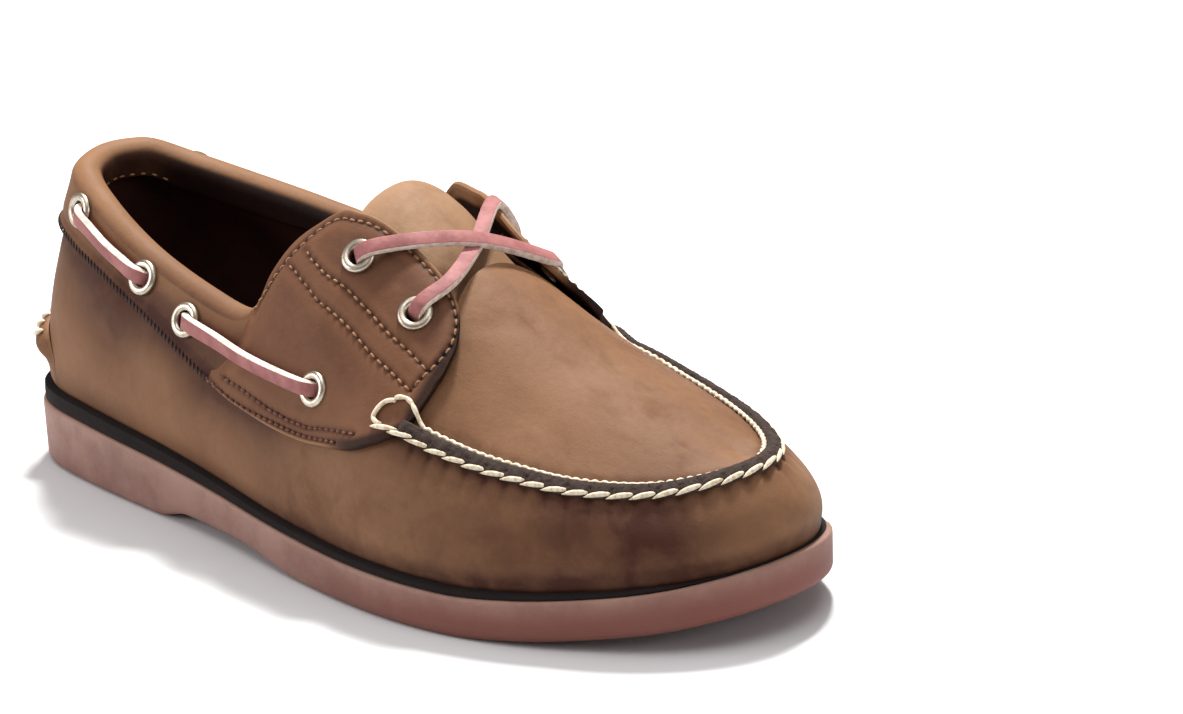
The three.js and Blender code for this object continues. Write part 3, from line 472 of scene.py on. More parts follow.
def flap_normal(along, across, side, reach=0.01):
    def at(a, c):
        return flap_point(a, c, side, FLAP_THICKNESS)

    run = at(along + reach, across) - at(along - reach, across)
    rise = at(along, across + reach) - at(along, across - reach)
    return unit(np.cross(rise, run) if side == "medial" else np.cross(run, rise))


# Eyelets: section and height at either side, and the piece that each one is set in
EYELETS = {
    "heel": ("band", {"lateral": (1.85, 1.62), "medial": (1.85, 1.6)}),
    "side": ("band", {"lateral": (2.87, 1.56), "medial": (2.87, 1.53)}),
    "waist": ("band", {"lateral": (3.42, 1.495), "medial": (3.42, 1.47)}),
    "flap_low": ("flap", {"lateral": (6.2, 1.138), "medial": (6.2, 1.13)}),
    "flap_rear": ("flap", {"lateral": (6.22, 1.626), "medial": (6.42, 1.48)}),
    "flap_front": ("flap", {"lateral": (7.03, 1.522), "medial": (7.08, 1.46)}),
}
SIDES = ("lateral", "medial")
EYELET_SEAT = 1.5 * SEAT
FLANGE_REACH = 0.04


def nearest_on_flap(section, height, side):
    """Place on a flap, along it and up its width, that is nearest to a section and height."""
    along, across = np.meshgrid(np.linspace(0, 1, 241), np.linspace(0, 1, 81), indexing="ij")
    station, heights, _ = flap_place(along, across, side)
    miss = np.hypot(station - on_side(section, side), heights - height)
    best = np.unravel_index(np.argmin(miss), miss.shape)
    return along[best], across[best]


def eyelet_frame(name, side):
    """Middle of the flange's underside, the way it faces, and the depth of the leather below it."""
    piece, places = EYELETS[name]
    section, height = places[side]
    if piece == "band":
        station = on_side(section, side)
        seat = offset_point(station, height, OVERLAY_SEAT + BAND_THICKNESS + EYELET_SEAT)
        return seat, last_normal(station, height), BAND_THICKNESS
    place = nearest_on_flap(section, height, side)
    facing = flap_normal(*place, side, FLANGE_REACH)
    return flap_point(*place, side, FLAP_THICKNESS) + EYELET_SEAT * facing, facing, FLAP_THICKNESS


eyelet_frames = {(name, side): eyelet_frame(name, side) for name in EYELETS for side in SIDES}


def frames_on(piece, side=None):
    """Frames of the eyelets set in the band or in the flaps, on one side or on both."""
    sides = SIDES if side is None else (side,)
    return [eyelet_frames[name, s] for name, (on, _) in EYELETS.items() if on == piece for s in sides]


# Meshes
def to_scene(points):
    return (np.asarray(points, float) - BOX_MIDDLE) * MM


def make_mesh(
    name, points, faces, materials, slot=None, replaces=(), tones=None, face_material=None, sharp=40
):
    """Smooth mesh object from arrays in millimetres, riding on the body. Tones are marks for its material,
    with a value for each point."""
    faces = [np.asarray(f) for f in faces]
    used = np.unique(np.concatenate([f.ravel() for f in faces]))
    renumber = np.full(len(points), -1)
    renumber[used] = np.arange(len(used))
    mesh = bpy.data.meshes.new(name)
    mesh.from_pydata(to_scene(points)[used], [], [tuple(renumber[q]) for f in faces for q in f.tolist()])
    for material in materials:
        mesh.materials.append(material)
    if face_material is not None:
        mesh.polygons.foreach_set("material_index", np.asarray(face_material, np.int32))
    for key, values in (tones or {}).items():
        layer = mesh.attributes.new(key, "FLOAT", "POINT")
        layer.data.foreach_set("value", np.asarray(values, np.float32)[used])
    mesh.validate()
    mesh.shade_smooth()
    mesh.set_sharp_from_angle(angle=math.radians(sharp))
    piece = bpy.data.objects.new(name, mesh)
    bpy.context.scene.collection.objects.link(piece)
    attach(piece, "root")
    if replaces:
        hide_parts(*replaces)
    return piece


def grid_quads(columns, rows, wrap=False):
    """Corner numbers of the quads between columns and rows of points."""
    index = np.arange(columns * rows).reshape(columns, rows)
    here = index if wrap else index[:-1]
    following = np.roll(index, -1, 0) if wrap else index[1:]
    corners = [here[:, :-1], following[:, :-1], following[:, 1:], here[:, 1:]]
    return np.stack(corners, -1)


def walls_of(quads, count):
    """Quads between the free edges of a sheet and those of its other face, which is count points on."""
    edges = np.concatenate([quads[:, [i, (i + 1) % 4]] for i in range(4)])
    edges = edges[edges[:, 0] != edges[:, 1]]
    forward = edges[:, 0] * count + edges[:, 1]
    backward = edges[:, 1] * count + edges[:, 0]
    free = edges[~np.isin(forward, backward)]
    return np.stack([free[:, 0], free[:, 0] + count, free[:, 1] + count, free[:, 1]], -1)


def thick_sheet(
    name, outer, inner, materials, keep=None, wrap=False, flip=False, tones=None, inside=None, **rest
):
    """Closed sheet between a grid of outer points and one of inner points, without the faces where keep is
    False. Tones are the marks on its outer face, and inside has those that differ on its inner one."""
    columns, rows = outer.shape[:2]
    quads = grid_quads(columns, rows, wrap)
    quads = quads.reshape(-1, 4) if keep is None else quads[keep]
    if flip:
        quads = quads[:, ::-1]
    count = columns * rows
    faces = np.concatenate([quads, quads[:, ::-1] + count, walls_of(quads, count)])
    points = np.concatenate([outer.reshape(-1, 3), inner.reshape(-1, 3)])
    outside = tones or {}
    within = {**outside, **(inside or {})}

    def on_face(values):
        return np.ravel(np.broadcast_to(np.clip(values, 0, 1), (columns, rows)))

    both = {key: np.append(on_face(outside.get(key, 0)), on_face(within[key])) for key in within}
    return make_mesh(name, points, [faces], materials, tones=both, **rest)


def edge_distance(points):
    """Distance of each grid point from the nearest edge of the grid, and from each of its four edges."""
    steps_c = np.linalg.norm(np.diff(points, axis=0), axis=-1)
    steps_r = np.linalg.norm(np.diff(points, axis=1), axis=-1)
    from_c = np.concatenate([np.zeros((1, points.shape[1])), np.cumsum(steps_c, 0)])
    from_r = np.concatenate([np.zeros((points.shape[0], 1)), np.cumsum(steps_r, 1)], 1)
    sides = [from_c, from_c[-1:] - from_c, from_r, from_r[:, -1:] - from_r]
    return np.minimum.reduce(sides), sides


def rounding(distance, radius):
    """How far a rounded edge falls away at a distance from it."""
    t = np.clip(distance / radius, 0, 1)
    return radius * (1 - np.sqrt(1 - (1 - t) ** 2))


def nearest(points, places):
    """Distance from each point to the nearest of some places."""
    flat = points.reshape(-1, 3)
    best = np.full(len(flat), np.inf)
    for place in np.asarray(places).reshape(-1, 3):
        best = np.minimum(best, np.linalg.norm(flat - place, axis=1))
    return best.reshape(points.shape[:-1])


HOLE_DEPTH = 8


def clear_of_holes(outer, frames, radius):
    """True for the quads of a grid that are clear of the eyelets' holes."""
    middle = (outer[:-1, :-1] + outer[1:, :-1] + outer[1:, 1:] + outer[:-1, 1:]) / 4
    keep = np.ones(middle.shape[:2], bool)
    for seat, facing, _ in frames:
        away = middle - seat
        along = away @ facing
        off = np.linalg.norm(away - spread(along, facing), axis=-1)
        keep &= (off > radius) | (np.abs(along) > HOLE_DEPTH)
    return keep


class Route:
    """Curve over a surface, by length: surface gives points for an array of shares, and normals with them."""

    def __init__(self, surface, count=600):
        shares = np.linspace(0, 1, count)
        self.points, self.normals = surface(shares)
        lengths = np.linalg.norm(np.diff(self.points, axis=0), axis=1)
        self.at = np.concatenate([[0], np.cumsum(lengths)])
        self.length = self.at[-1]

    def point(self, s):
        return np.stack([np.interp(s, self.at, self.points[:, i]) for i in range(3)], -1)

    def normal(self, s):
        return unit(np.stack([np.interp(s, self.at, self.normals[:, i]) for i in range(3)], -1))

    def frame(self, s, reach=0.2):
        """Point, direction, side and normal at lengths s."""
        run = unit(self.point(s + reach) - self.point(s - reach))
        normal = self.normal(s)
        side = unit(np.cross(normal, run))
        return self.point(s), run, side, np.cross(run, side)

    def stops(self, pitch):
        """Lengths of the middles of stitches that share the route out evenly."""
        count = max(int(self.length // pitch), 1)
        return (np.arange(count) + 0.5) * self.length / count


def ring_faces(rings, around):
    """Quads between rings of points, and the caps at both ends."""
    index = np.arange(rings * around).reshape(rings, around)
    ahead = np.roll(index, -1, 1)
    quads = np.stack([index[:-1], ahead[:-1], ahead[1:], index[1:]], -1).reshape(-1, 4)
    return quads, np.stack([index[0][::-1], index[-1]])


def beads(name, frames, size, material, slot, lift=0.0, slant=0.0, bend=0.0, taper=0.5, rings=9, around=8):
    """Many stitches in one mesh, one at each frame of a route. Each is a tapered rod of a length, width and
    height, lifted along the normal and turned aside by a slant in degrees; its ends bend down."""
    centres, runs, aside, normals = frames
    length, width, height = size
    slant = math.radians(slant)
    along = unit(math.cos(slant) * runs + math.sin(slant) * aside)
    across = unit(np.cross(normals, along))
    t = np.linspace(-1, 1, rings)
    angle = np.linspace(0, 2 * math.pi, around, endpoint=False)
    profile = np.clip(1 - t**2, 0, 1) ** taper
    profile[[0, -1]] = 0.05
    long = np.repeat(t * length / 2, around)
    wide = np.outer(profile, np.cos(angle) * width / 2).ravel()
    high = (np.outer(profile, np.sin(angle) * height / 2) - np.outer(bend * t**2, np.ones(around))).ravel()
    points = (centres + lift * normals)[:, None]
    for part, axis in ((long, along), (wide, across), (high, normals)):
        points = points + part[None, :, None] * axis[:, None]
    first = np.arange(len(centres))[:, None, None] * rings * around
    quads, caps = (faces[:, ::-1] + first for faces in ring_faces(rings, around))
    faces = [quads.reshape(-1, 4), caps.reshape(-1, around)]
    return make_mesh(name, points.reshape(-1, 3), faces, [material], slot=slot, sharp=80)


def thread_mesh(name, points, sides, wide, high, around=10):
    """White thread along dense points, of one half-width or of one at each point."""
    run = unit(np.gradient(points, axis=0))
    across = unit(sides - spread(np.sum(sides * run, -1), run))
    out = np.cross(run, across)
    angle = np.linspace(0, 2 * math.pi, around, endpoint=False)[None, :, None]
    wide = np.broadcast_to(wide, len(points))[:, None, None]
    high = np.broadcast_to(high, len(points))[:, None, None]
    rings = points[:, None] + wide * np.cos(angle) * across[:, None] + high * np.sin(angle) * out[:, None]
    faces = ring_faces(len(points), around)
    return make_mesh(name, rings.reshape(-1, 3), faces, [WHITE_THREAD], slot="edge_leather", sharp=80)


# Materials
def linear(red, green, blue):
    """Linear colour of a screen colour given in steps of 255."""
    values = np.array([red, green, blue]) / 255
    low, high = values / 12.92, ((values + 0.055) / 1.055) ** 2.4
    return (*np.where(values <= 0.04045, low, high), 1.0)


class Nodes:
    """Small helper that adds nodes to a material and joins them."""

    def __init__(self, name):
        self.material = bpy.data.materials.new(name)
        self.material.use_nodes = True
        self.tree = self.material.node_tree
        self.shader = self.tree.nodes["Principled BSDF"]
        self.place = self.add("ShaderNodeTexCoord").outputs["Object"]

    def add(self, kind, **settings):
        node = self.tree.nodes.new(kind)
        for key, value in settings.items():
            setattr(node, key, value)
        return node

    def feed(self, socket, value):
        if isinstance(value, bpy.types.NodeSocket):
            self.tree.links.new(value, socket)
        else:
            socket.default_value = value

    def set(self, **values):
        for key, value in values.items():
            self.feed(self.shader.inputs[key.replace("_", " ")], value)

    def noise(self, scale, detail=3.0, rough=0.55, distortion=0.0, stretch=(1, 1, 1)):
        mapping = self.add("ShaderNodeMapping")
        mapping.inputs["Scale"].default_value = stretch
        self.feed(mapping.inputs["Vector"], self.place)
        node = self.add("ShaderNodeTexNoise")
        self.feed(node.inputs["Vector"], mapping.outputs["Vector"])
        self.feed(node.inputs["Scale"], scale)
        self.feed(node.inputs["Detail"], detail)
        self.feed(node.inputs["Roughness"], rough)
        self.feed(node.inputs["Distortion"], distortion)
        return node.outputs["Fac"]

    def ranged(self, value, low, high, to_low=0.0, to_high=1.0):
        node = self.add("ShaderNodeMapRange", interpolation_type="SMOOTHSTEP")
        for socket, given in zip(node.inputs[:5], (value, low, high, to_low, to_high)):
            self.feed(socket, given)
        return node.outputs[0]

    def math(self, operation, a, b=0.0):
        node = self.add("ShaderNodeMath", operation=operation)
        node.use_clamp = True
        self.feed(node.inputs[0], a)
        self.feed(node.inputs[1], b)
        return node.outputs[0]

    def blend(self, share, a, b):
        node = self.add("ShaderNodeMix", data_type="RGBA")
        self.feed(node.inputs[0], share)
        self.feed(node.inputs[6], a)
        self.feed(node.inputs[7], b)
        return node.outputs[2]

    def times(self, share, amount):
        return self.math("MULTIPLY", share, amount)

    def tone(self, name):
        node = self.add("ShaderNodeAttribute", attribute_name=name)
        return node.outputs["Fac"]

    def bump(self, height, strength, distance, normal=None):
        node = self.add("ShaderNodeBump")
        self.feed(node.inputs["Height"], height)
        self.feed(node.inputs["Strength"], strength)
        self.feed(node.inputs["Distance"], distance)
        if normal is not None:
            self.feed(node.inputs["Normal"], normal)
        return node.outputs["Normal"]


RAW_TAN = linear(138, 104, 76)
# Near-black brown: flecks in cut edges, and painted shade in needle holes, notches and grooves
FLECK_AND_SHADE_BROWN = linear(26, 14, 10)


def nubuck(name, body, rubbed, shade):
    """Oiled nubuck: clouds and smears of rubbed and darker nap, fine grain, and tones kept on the mesh, which
    carry stains, painted shade, painted highlights, the cut edge's tan and painted shade in pits.
    """
    n = Nodes(name)
    clouds = n.ranged(n.noise(24, 4, 0.6, 0.3), 0.3, 0.72)
    smears = n.ranged(n.noise(48, 5, 0.6, 0.4, (1.0, 1.5, 0.75)), 0.45, 0.8)
    fine = n.ranged(n.noise(300, 4, 0.7), 0.32, 0.72)
    nap = n.noise(1400, 3, 0.7)
    broken = n.ranged(n.noise(75, 5, 0.6, 0.3), 0.25, 0.75, 0.7, 1.2)
    colour = n.blend(clouds, body, rubbed)
    colour = n.blend(n.times(smears, 0.4), colour, shade)
    colour = n.blend(n.times(fine, 0.16), colour, shade)
    colour = n.blend(n.times(n.ranged(nap, 0.35, 0.75), 0.14), colour, rubbed)
    # Stains, painted shade and darker leather, from the dark tone
    colour = n.blend(n.times(n.tone("dark"), broken), colour, shade)
    # Painted highlights, wear on the collar's crest and paler leather, from the light tone, in the rubbed
    # colour
    colour = n.blend(n.times(n.tone("light"), broken), colour, rubbed)
    colour = n.blend(n.tone("edge"), colour, RAW_TAN)
    # Painted shade in pits, holes and grooves
    colour = n.blend(n.tone("pit_shade"), colour, FLECK_AND_SHADE_BROWN)
    grain = n.bump(nap, 0.3, 0.00025)
    grain = n.bump(n.noise(320, 4, 0.62), 0.35, 0.0005, grain)
    n.set(
        Base_Color=colour,
        Roughness=n.ranged(smears, 0, 1, 0.6, 0.75),
        Normal=grain,
        Specular_IOR_Level=0.12,
    )
    return n.material


def raw_edge(name, body, fleck):
    """Cut leather edge: fibres, flecks and pits, and painted shade in its needle holes."""
    n = Nodes(name)
    fibres = n.noise(420, 5, 0.7, 0.3)
    colour = n.blend(n.ranged(fibres, 0.35, 0.7), body, fleck)
    colour = n.blend(n.ranged(n.noise(650, 3, 0.6), 0.58, 0.72), colour, FLECK_AND_SHADE_BROWN)
    # Painted shade in the needle holes
    colour = n.blend(n.tone("pit_shade"), colour, FLECK_AND_SHADE_BROWN)
    normal = n.bump(fibres, 0.8, 0.0009)
    n.set(Base_Color=colour, Roughness=0.82, Normal=normal, Specular_IOR_Level=0.2)
    return n.material


def plain_leather(name, body, other, scale, roughness, bump=0.3):
    """Smooth leather in two mottled colours, paler where it is rubbed."""
    n = Nodes(name)
    mottle = n.noise(scale, 4, 0.6)
    colour = n.blend(n.ranged(mottle, 0.35, 0.7), body, other)
    colour = n.blend(n.tone("light"), colour, RAW_TAN)
    n.set(
        Base_Color=colour,
        Roughness=roughness,
        Normal=n.bump(n.noise(700, 3, 0.6), bump, 0.0004),
        Specular_IOR_Level=0.25,
    )
    return n.material


def gum_rubber():
    """Gum rubber: brown-pink, redder low down at the toe, with a paler rim of painted highlight at its top
    and a fine scuffed skin.
    """
    n = Nodes("gum_rubber")
    mottle = n.noise(48, 5, 0.65)
    colour = n.blend(n.ranged(mottle, 0.3, 0.7), linear(148, 118, 106), linear(124, 94, 84))
    colour = n.blend(n.tone("red"), colour, linear(112, 67, 58))
    # Painted highlight along the top rim
    colour = n.blend(n.tone("light"), colour, linear(140, 112, 95))
    # Painted shade in pits
    colour = n.blend(n.tone("pit_shade"), colour, linear(78, 48, 42))
    scuffs = n.noise(520, 4, 0.65, 0.2, (1, 1, 3))
    n.set(
        Base_Color=colour,
        Roughness=n.ranged(scuffs, 0.2, 0.8, 0.5, 0.65),
        Normal=n.bump(scuffs, 0.22, 0.0004),
        Specular_IOR_Level=0.2,
        Subsurface_Weight=0.06,
        Subsurface_Scale=0.004,
    )
    return n.material


def thread(name, body, shade, scale=900):
    """Waxed thread with the twist of its strands."""
    n = Nodes(name)
    strands = n.noise(scale, 2, 0.5, 0.0, (1, 1, 0.4))
    colour = n.blend(n.ranged(strands, 0.4, 0.7), body, shade)
    n.set(Base_Color=colour, Roughness=0.6, Normal=n.bump(strands, 0.5, 0.0003), Specular_IOR_Level=0.3)
    return n.material


def nickel():
    """Pale nickel with dull and worn spots."""
    n = Nodes("pale_nickel")
    wear = n.noise(340, 4, 0.6)
    colour = n.blend(n.ranged(wear, 0.35, 0.75), linear(190, 182, 166), linear(150, 138, 120))
    n.set(
        Base_Color=colour,
        Metallic=1.0,
        Roughness=n.ranged(wear, 0.3, 0.7, 0.26, 0.42),
        Normal=n.bump(n.noise(900, 2, 0.5), 0.08, 0.0002),
    )
    return n.material


LEATHER = nubuck("oiled_nubuck", linear(109, 76, 52), linear(126, 92, 65), linear(60, 33, 24))
FLAP_LEATHER = nubuck("flap_nubuck", linear(94, 61, 43), linear(110, 75, 52), linear(58, 35, 26))
PALE_LEATHER = nubuck("tongue_nubuck", linear(134, 103, 77), linear(148, 118, 90), linear(98, 66, 44))
EDGE = raw_edge("raw_edge_dark", linear(47, 35, 29), linear(62, 49, 42))
LINING = plain_leather("dark_lining", linear(58, 26, 18), linear(42, 19, 13), 60, 0.75)
FOOTBED = plain_leather("footbed_leather", linear(62, 38, 24), linear(50, 30, 18), 45, 0.65)
RAND = plain_leather("burnished_midsole", linear(20, 10, 7), linear(12, 6, 4), 130, 0.9, 0.4)
RUBBER = gum_rubber()
WHITE_THREAD = thread("white_thread", linear(212, 200, 176), linear(180, 162, 134))
TAN_THREAD = thread("tan_thread", linear(146, 104, 70), linear(112, 76, 50), 1500)
DARK_THREAD = thread("brown_thread", linear(112, 72, 54), linear(80, 48, 38), 1500)
GATHER_THREAD = thread("gather_thread", linear(52, 34, 28), linear(36, 22, 18), 1500)
LACE_FACE = plain_leather("lace_face", linear(152, 98, 94), linear(128, 76, 75), 160, 0.6)
LACE_EDGE = plain_leather("lace_raw_edge", linear(214, 200, 188), linear(180, 158, 146), 420, 0.8, 0.6)
NICKEL = nickel()


# Sole: solids of levels, each with an inset, fixed or a function of the station, and a height over x
SOLE_COLUMNS = 20


def stations_round(per_section):
    return np.arange(AROUND * per_section) / per_section


def level_loop(level, station):
    inset, height = level
    return rim_point(station, inset(station) if callable(inset) else inset, height)


def ladder(level, across):
    """Grid across the shoe between the lateral and medial sides of a level's loop, from heel to toe."""
    section = np.linspace(0, TOE_TIP, TOE_TIP * SOLE_COLUMNS + 1)[:, None]
    share = np.linspace(0, 1, across + 1)[None]
    lateral, medial = level_loop(level, section), level_loop(level, AROUND - section)
    return lateral + (medial - lateral) * share[..., None]


def stacked(name, levels, material, cap_rows, tones=None, shape_top=None, shape_bottom=None, **rest):
    """Solid from loops round the sole, closed by ladders of points across its bottom and its top."""
    stations = stations_round(SOLE_COLUMNS)
    side = np.stack([level_loop(level, stations) for level in levels], 1)
    parts = [side.reshape(-1, 3)]
    faces = [grid_quads(*side.shape[:2], wrap=True).reshape(-1, 4)]
    start = len(parts[0])
    for level, shape, step in ((levels[0], shape_bottom, -1), (levels[-1], shape_top, 1)):
        cap = ladder(level, cap_rows)
        if shape is not None:
            cap = shape(cap)
        parts.append(cap.reshape(-1, 3))
        faces.append(grid_quads(*cap.shape[:2]).reshape(-1, 4)[:, ::step] + start)
        start += len(parts[-1])
    points = np.concatenate(parts)
    values = {key: value(points) for key, value in (tones or {}).items()}
    return make_mesh(name, points, faces, [material], tones=values, **rest)


def raised(height, rise):
    """A height over x, moved up."""
    return lambda x: height(x) + rise


def between(low, high, share):
    """A height over x, at a share of the way between two others."""
    return lambda x: mix(low(x), high(x), share)


FINE_WELD = 0.00002
SHEET_WELD = 0.00005
FOOTBED_WELD = 0.0011


def weld(piece, distance=FINE_WELD):
    """Joins points of a piece that lie on each other, in metres, and drops faces with no area."""
    bm = bmesh.new()
    bm.from_mesh(piece.data)
    bmesh.ops.remove_doubles(bm, verts=bm.verts, dist=distance)
    bmesh.ops.dissolve_degenerate(bm, dist=distance, edges=bm.edges)
    bm.to_mesh(piece.data)
    bm.free()
    return piece


# Tread: pitch of its cuts, length and swing of their zigzag, their depth and the plain margins
TREAD_PITCH = 5.5
TREAD_WAVE = 14.0
TREAD_SWING = 3.2
TREAD_DEPTH = 1.1
TREAD_MARGIN = 6.0
BREAST_MARGIN = 8.0
HEEL_BREAST = 0.25 * SOLE_LENGTH


def cut_tread(cap):
    """Zigzag cuts across the underside, clear of its edge and of the heel's breast."""
    x, y = cap[..., 0], cap[..., 1]
    wave = TREAD_SWING * np.abs(np.mod(y / TREAD_WAVE, 1) * 2 - 1)
    cut = np.abs(np.mod((x + wave) / TREAD_PITCH, 1) - 0.5) * 2
    inside = smooth(edge_distance(cap)[0], TREAD_MARGIN - 1, TREAD_MARGIN + 1)
    at_breast = 1 - smooth(np.abs(x - HEEL_BREAST), BREAST_MARGIN - 2, BREAST_MARGIN + 2)
    cap[..., 2] += TREAD_DEPTH * smooth(cut, 0.72, 0.9) * inside * (1 - at_breast)
    return cap


# Rounded edges of the outsole, in shares of SOLE_EDGE_ROUND: inset, and height off the floor or below the top
SOLE_FOOT = [(1.5, 0), (0.95, 0.16), (0.55, 0.5), (0.3, 0.95)]
SOLE_HEAD = [(0.02, 0.6), (0.16, 0.25), (0.4, 0.06), (0.7, 0)]
SOLE_WALL_LOW = 1.4
SOLE_WALL_HIGH = 1.1


def sole_red(points):
    """Redder rubber, faint along the side's foot and strong low down round the forepart."""
    x = points[:, 0]
    share = (points[:, 2] - sole_floor(x)) / (outsole_top(x) - sole_floor(x))
    faint = 0.2 * (1 - smooth(share, 0.2, 0.9))
    strong = 0.9 * (1 - smooth(share, 0.35, 1.25))
    return mix(faint, strong, smooth(x, 125, 235))


def sole_rim_highlight(points):
    """Painted highlight: a paler rim at the outsole's top, weaker to the toe."""
    gap = outsole_top(points[:, 0]) - points[:, 2]
    return 0.7 * (1 - smooth(gap, 0.2, 1.2)) * mix(1, 0.4, smooth(points[:, 0], 120, 220))


def build_outsole():
    edge = SOLE_EDGE_ROUND
    wall_low = raised(sole_floor, SOLE_WALL_LOW * edge)
    wall_high = raised(outsole_top, -SOLE_WALL_HIGH * edge)
    levels = [(inset * edge, raised(sole_floor, rise * edge)) for inset, rise in SOLE_FOOT]
    levels += [(mix(0.2, 0, t) * edge, between(wall_low, wall_high, t)) for t in np.linspace(0, 1, 7)]
    levels += [(inset * edge, raised(outsole_top, -drop * edge)) for inset, drop in SOLE_HEAD]
    piece = stacked(
        "outsole_rubber_tread", levels, RUBBER, 60, {"red": sole_red, "light": sole_rim_highlight},
        shape_bottom=cut_tread, slot="outsole_rubber", replaces=["outsole"],
    )
    return weld(piece)


# How far the upper's skin runs down over the midsole, and the midsole's edge steps back at the toe's tip
WALL_DROP_HEEL = 1.2
WALL_DROP_TOE = 2.4
WALL_DROP_TIP = 0.8
RAND_RECESS = 1.9
RAND_LIP = 0.2


def wall_drop(x):
    return mix(WALL_DROP_HEEL, WALL_DROP_TOE, smooth(x, 190, 285)) + WALL_DROP_TIP * smooth(x, 275, 296)


def set_back(inset):
    """Inset of the midsole's edge, more at the toe's tip."""
    return lambda station: inset + RAND_RECESS * smooth(section_of(station), 10.2, 11.9)


def rand_top(x):
    return midsole_top(x) - wall_drop(x)


def build_midsole():
    low = 0.25 * FEATHER_INSET
    levels = [
        (set_back(low + 0.4), raised(outsole_top, 0.05)),
        (set_back(low), raised(outsole_top, 0.4)),
        (set_back(low - 0.1), between(outsole_top, rand_top, 0.5)),
        (set_back(low), raised(rand_top, -RAND_LIP)),
        (set_back(low + 0.35), raised(rand_top, 0.2 * RAND_LIP)),
        (set_back(low + 0.6), raised(rand_top, RAND_LIP)),
        (FEATHER_INSET + 0.5, raised(rand_top, RAND_LIP)),
        (FEATHER_INSET + WALL, raised(midsole_top, -0.1)),
    ]
    return weld(stacked("midsole_rand", levels, RAND, 4, slot="midsole_leather", replaces=["midsole"]))


CUSHION_RISE = 1.6
CUSHION_SINK = 0.6
CUSHION_REACH = 22


def cushion(cap):
    """Footbed's face, higher round its edge."""
    away = edge_distance(cap)[0]
    cap[..., 2] += CUSHION_RISE * (1 - smooth(away, 0, CUSHION_REACH)) - CUSHION_SINK
    return cap


def build_insole():
    inset = FEATHER_INSET + WALL + SEAT
    levels = [
        (inset, midsole_top),
        (inset, raised(midsole_top, 0.8 * INSOLE_THICKNESS)),
        (inset + 0.6, raised(midsole_top, INSOLE_THICKNESS)),
    ]
    piece = stacked(
        "insole_footbed", levels, FOOTBED, 40, shape_top=cushion, slot="lining_leather", replaces=["insole"]
    )
    return weld(piece, FOOTBED_WELD)


# Stains and painted shade (the first table) and painted highlights (the second) on the leather: station,
# height, radius in millimetres and strength
STAIN_AND_SHADE_MARKS = [
    (11.25, 0.5, 17, 0.5),
    (10.75, 0.7, 12, 0.4),
    (10.7, 0.3, 20, 0.35),
    (10.2, 0.25, 22, 0.3),
    (9.4, 0.15, 24, 0.3),
    (8.5, 0.4, 26, 0.25),
    (7.8, 0.6, 22, 0.2),
    (9.9, 0.8, 10, 0.25),
    (5.9, 0.2, 26, 0.25),
    (4.7, 0.55, 14, 0.2),
    (3.6, 0.75, 13, 0.35),
    (2.6, 0.74, 17, 0.85),
    (1.9, 0.75, 15, 0.45),
    (0.4, 0.5, 18, 0.3),
    (14.2, 0.5, 24, 0.5),
    (17.5, 0.4, 28, 0.4),
    (20.8, 0.6, 24, 0.35),
]
PAINTED_HIGHLIGHT_MARKS = [
    (11.5, 0.8, 15, 0.45),
    (4.4, 0.28, 20, 0.35),
    (3.2, 0.3, 16, 0.25),
    (1.4, 0.3, 24, 0.6),
    (3.0, 0.3, 24, 0.4),
    (8.4, 1.55, 22, 0.4),
    (9.6, 1.7, 20, 0.35),
    (12.8, 0.6, 22, 0.25),
    (18.6, 0.6, 24, 0.25),
]


def marks(points, table):
    """Strength of a table's marks at points, up to 1."""
    total = np.zeros(points.shape[:-1])
    for station, height, radius, strength in table:
        away = np.linalg.norm(points - last_point(station, height), axis=-1)
        total += strength * bell(away, radius)
    return np.clip(total, 0, 1)


# Creases: station and height of both ends, width and depth in millimetres; a ridge has a depth below 0
CREASES = [
    (2.2, 0.62, 3.4, 0.5, 3.2, 0.45),
    (4.3, 0.62, 5.6, 0.42, 4.0, 0.4),
    (5.2, 0.72, 6.6, 0.62, 3.0, 0.35),
    (6.6, 0.5, 7.6, 0.36, 3.6, 0.4),
    (8.1, 0.62, 8.7, 0.4, 3.0, 0.3),
    (6.0, 0.34, 6.9, 0.22, 4.5, -0.35),
    (9.2, 0.6, 10.0, 0.5, 4.0, 0.3),
    (1.2, 0.55, 1.5, 0.3, 4.0, 0.35),
    (16.6, 0.6, 17.6, 0.45, 3.6, 0.4),
    (18.6, 0.6, 19.9, 0.48, 3.6, 0.4),
    (20.6, 0.66, 21.6, 0.55, 3.2, 0.4),
    (14.4, 0.6, 15.4, 0.42, 3.2, 0.3),
    (7.5, 1.62, 8.1, 1.9, 4.0, 0.3),
    (16.5, 1.62, 15.9, 1.9, 4.0, 0.3),
    (8.6, 1.45, 9.4, 1.35, 4.0, 0.22),
]


def creased(points):
    """Soft troughs and ridges along the creases, in millimetres out of the last."""
    total = np.zeros(points.shape[:-1])
    for s0, h0, s1, h1, width, depth in CREASES:
        start, end = last_point(s0, h0), last_point(s1, h1)
        run = end - start
        share = np.clip(((points - start) @ run) / (run @ run), 0, 1)
        away = np.linalg.norm(points - start - spread(share, run), axis=-1)
        fade = np.sin(np.pi * np.clip(share, 0.06, 0.94)) ** 0.5
        total -= depth * fade * bell(away, width)
    return total


# Moccasin seam: stations where its threads and its strip start, the strip's width, the pitch of the outer
# stitches, both rows' places up from the moccasin line, and how far the ends rise over the flaps' corners
THREAD_START = 7.14
SEAM_START = 7.42
SEAM_SPAN = 5.0
SEAM_PITCH = 6.6
SEAM_OUTER = 0.7
SEAM_INNER = 5.5
SEAM_LIFT = 1.9


def seam_lift(station):
    """Rise of the seam off the last, towards its ends."""
    return SEAM_LIFT * (1 - smooth(section_of(station), 7.46, 7.8))


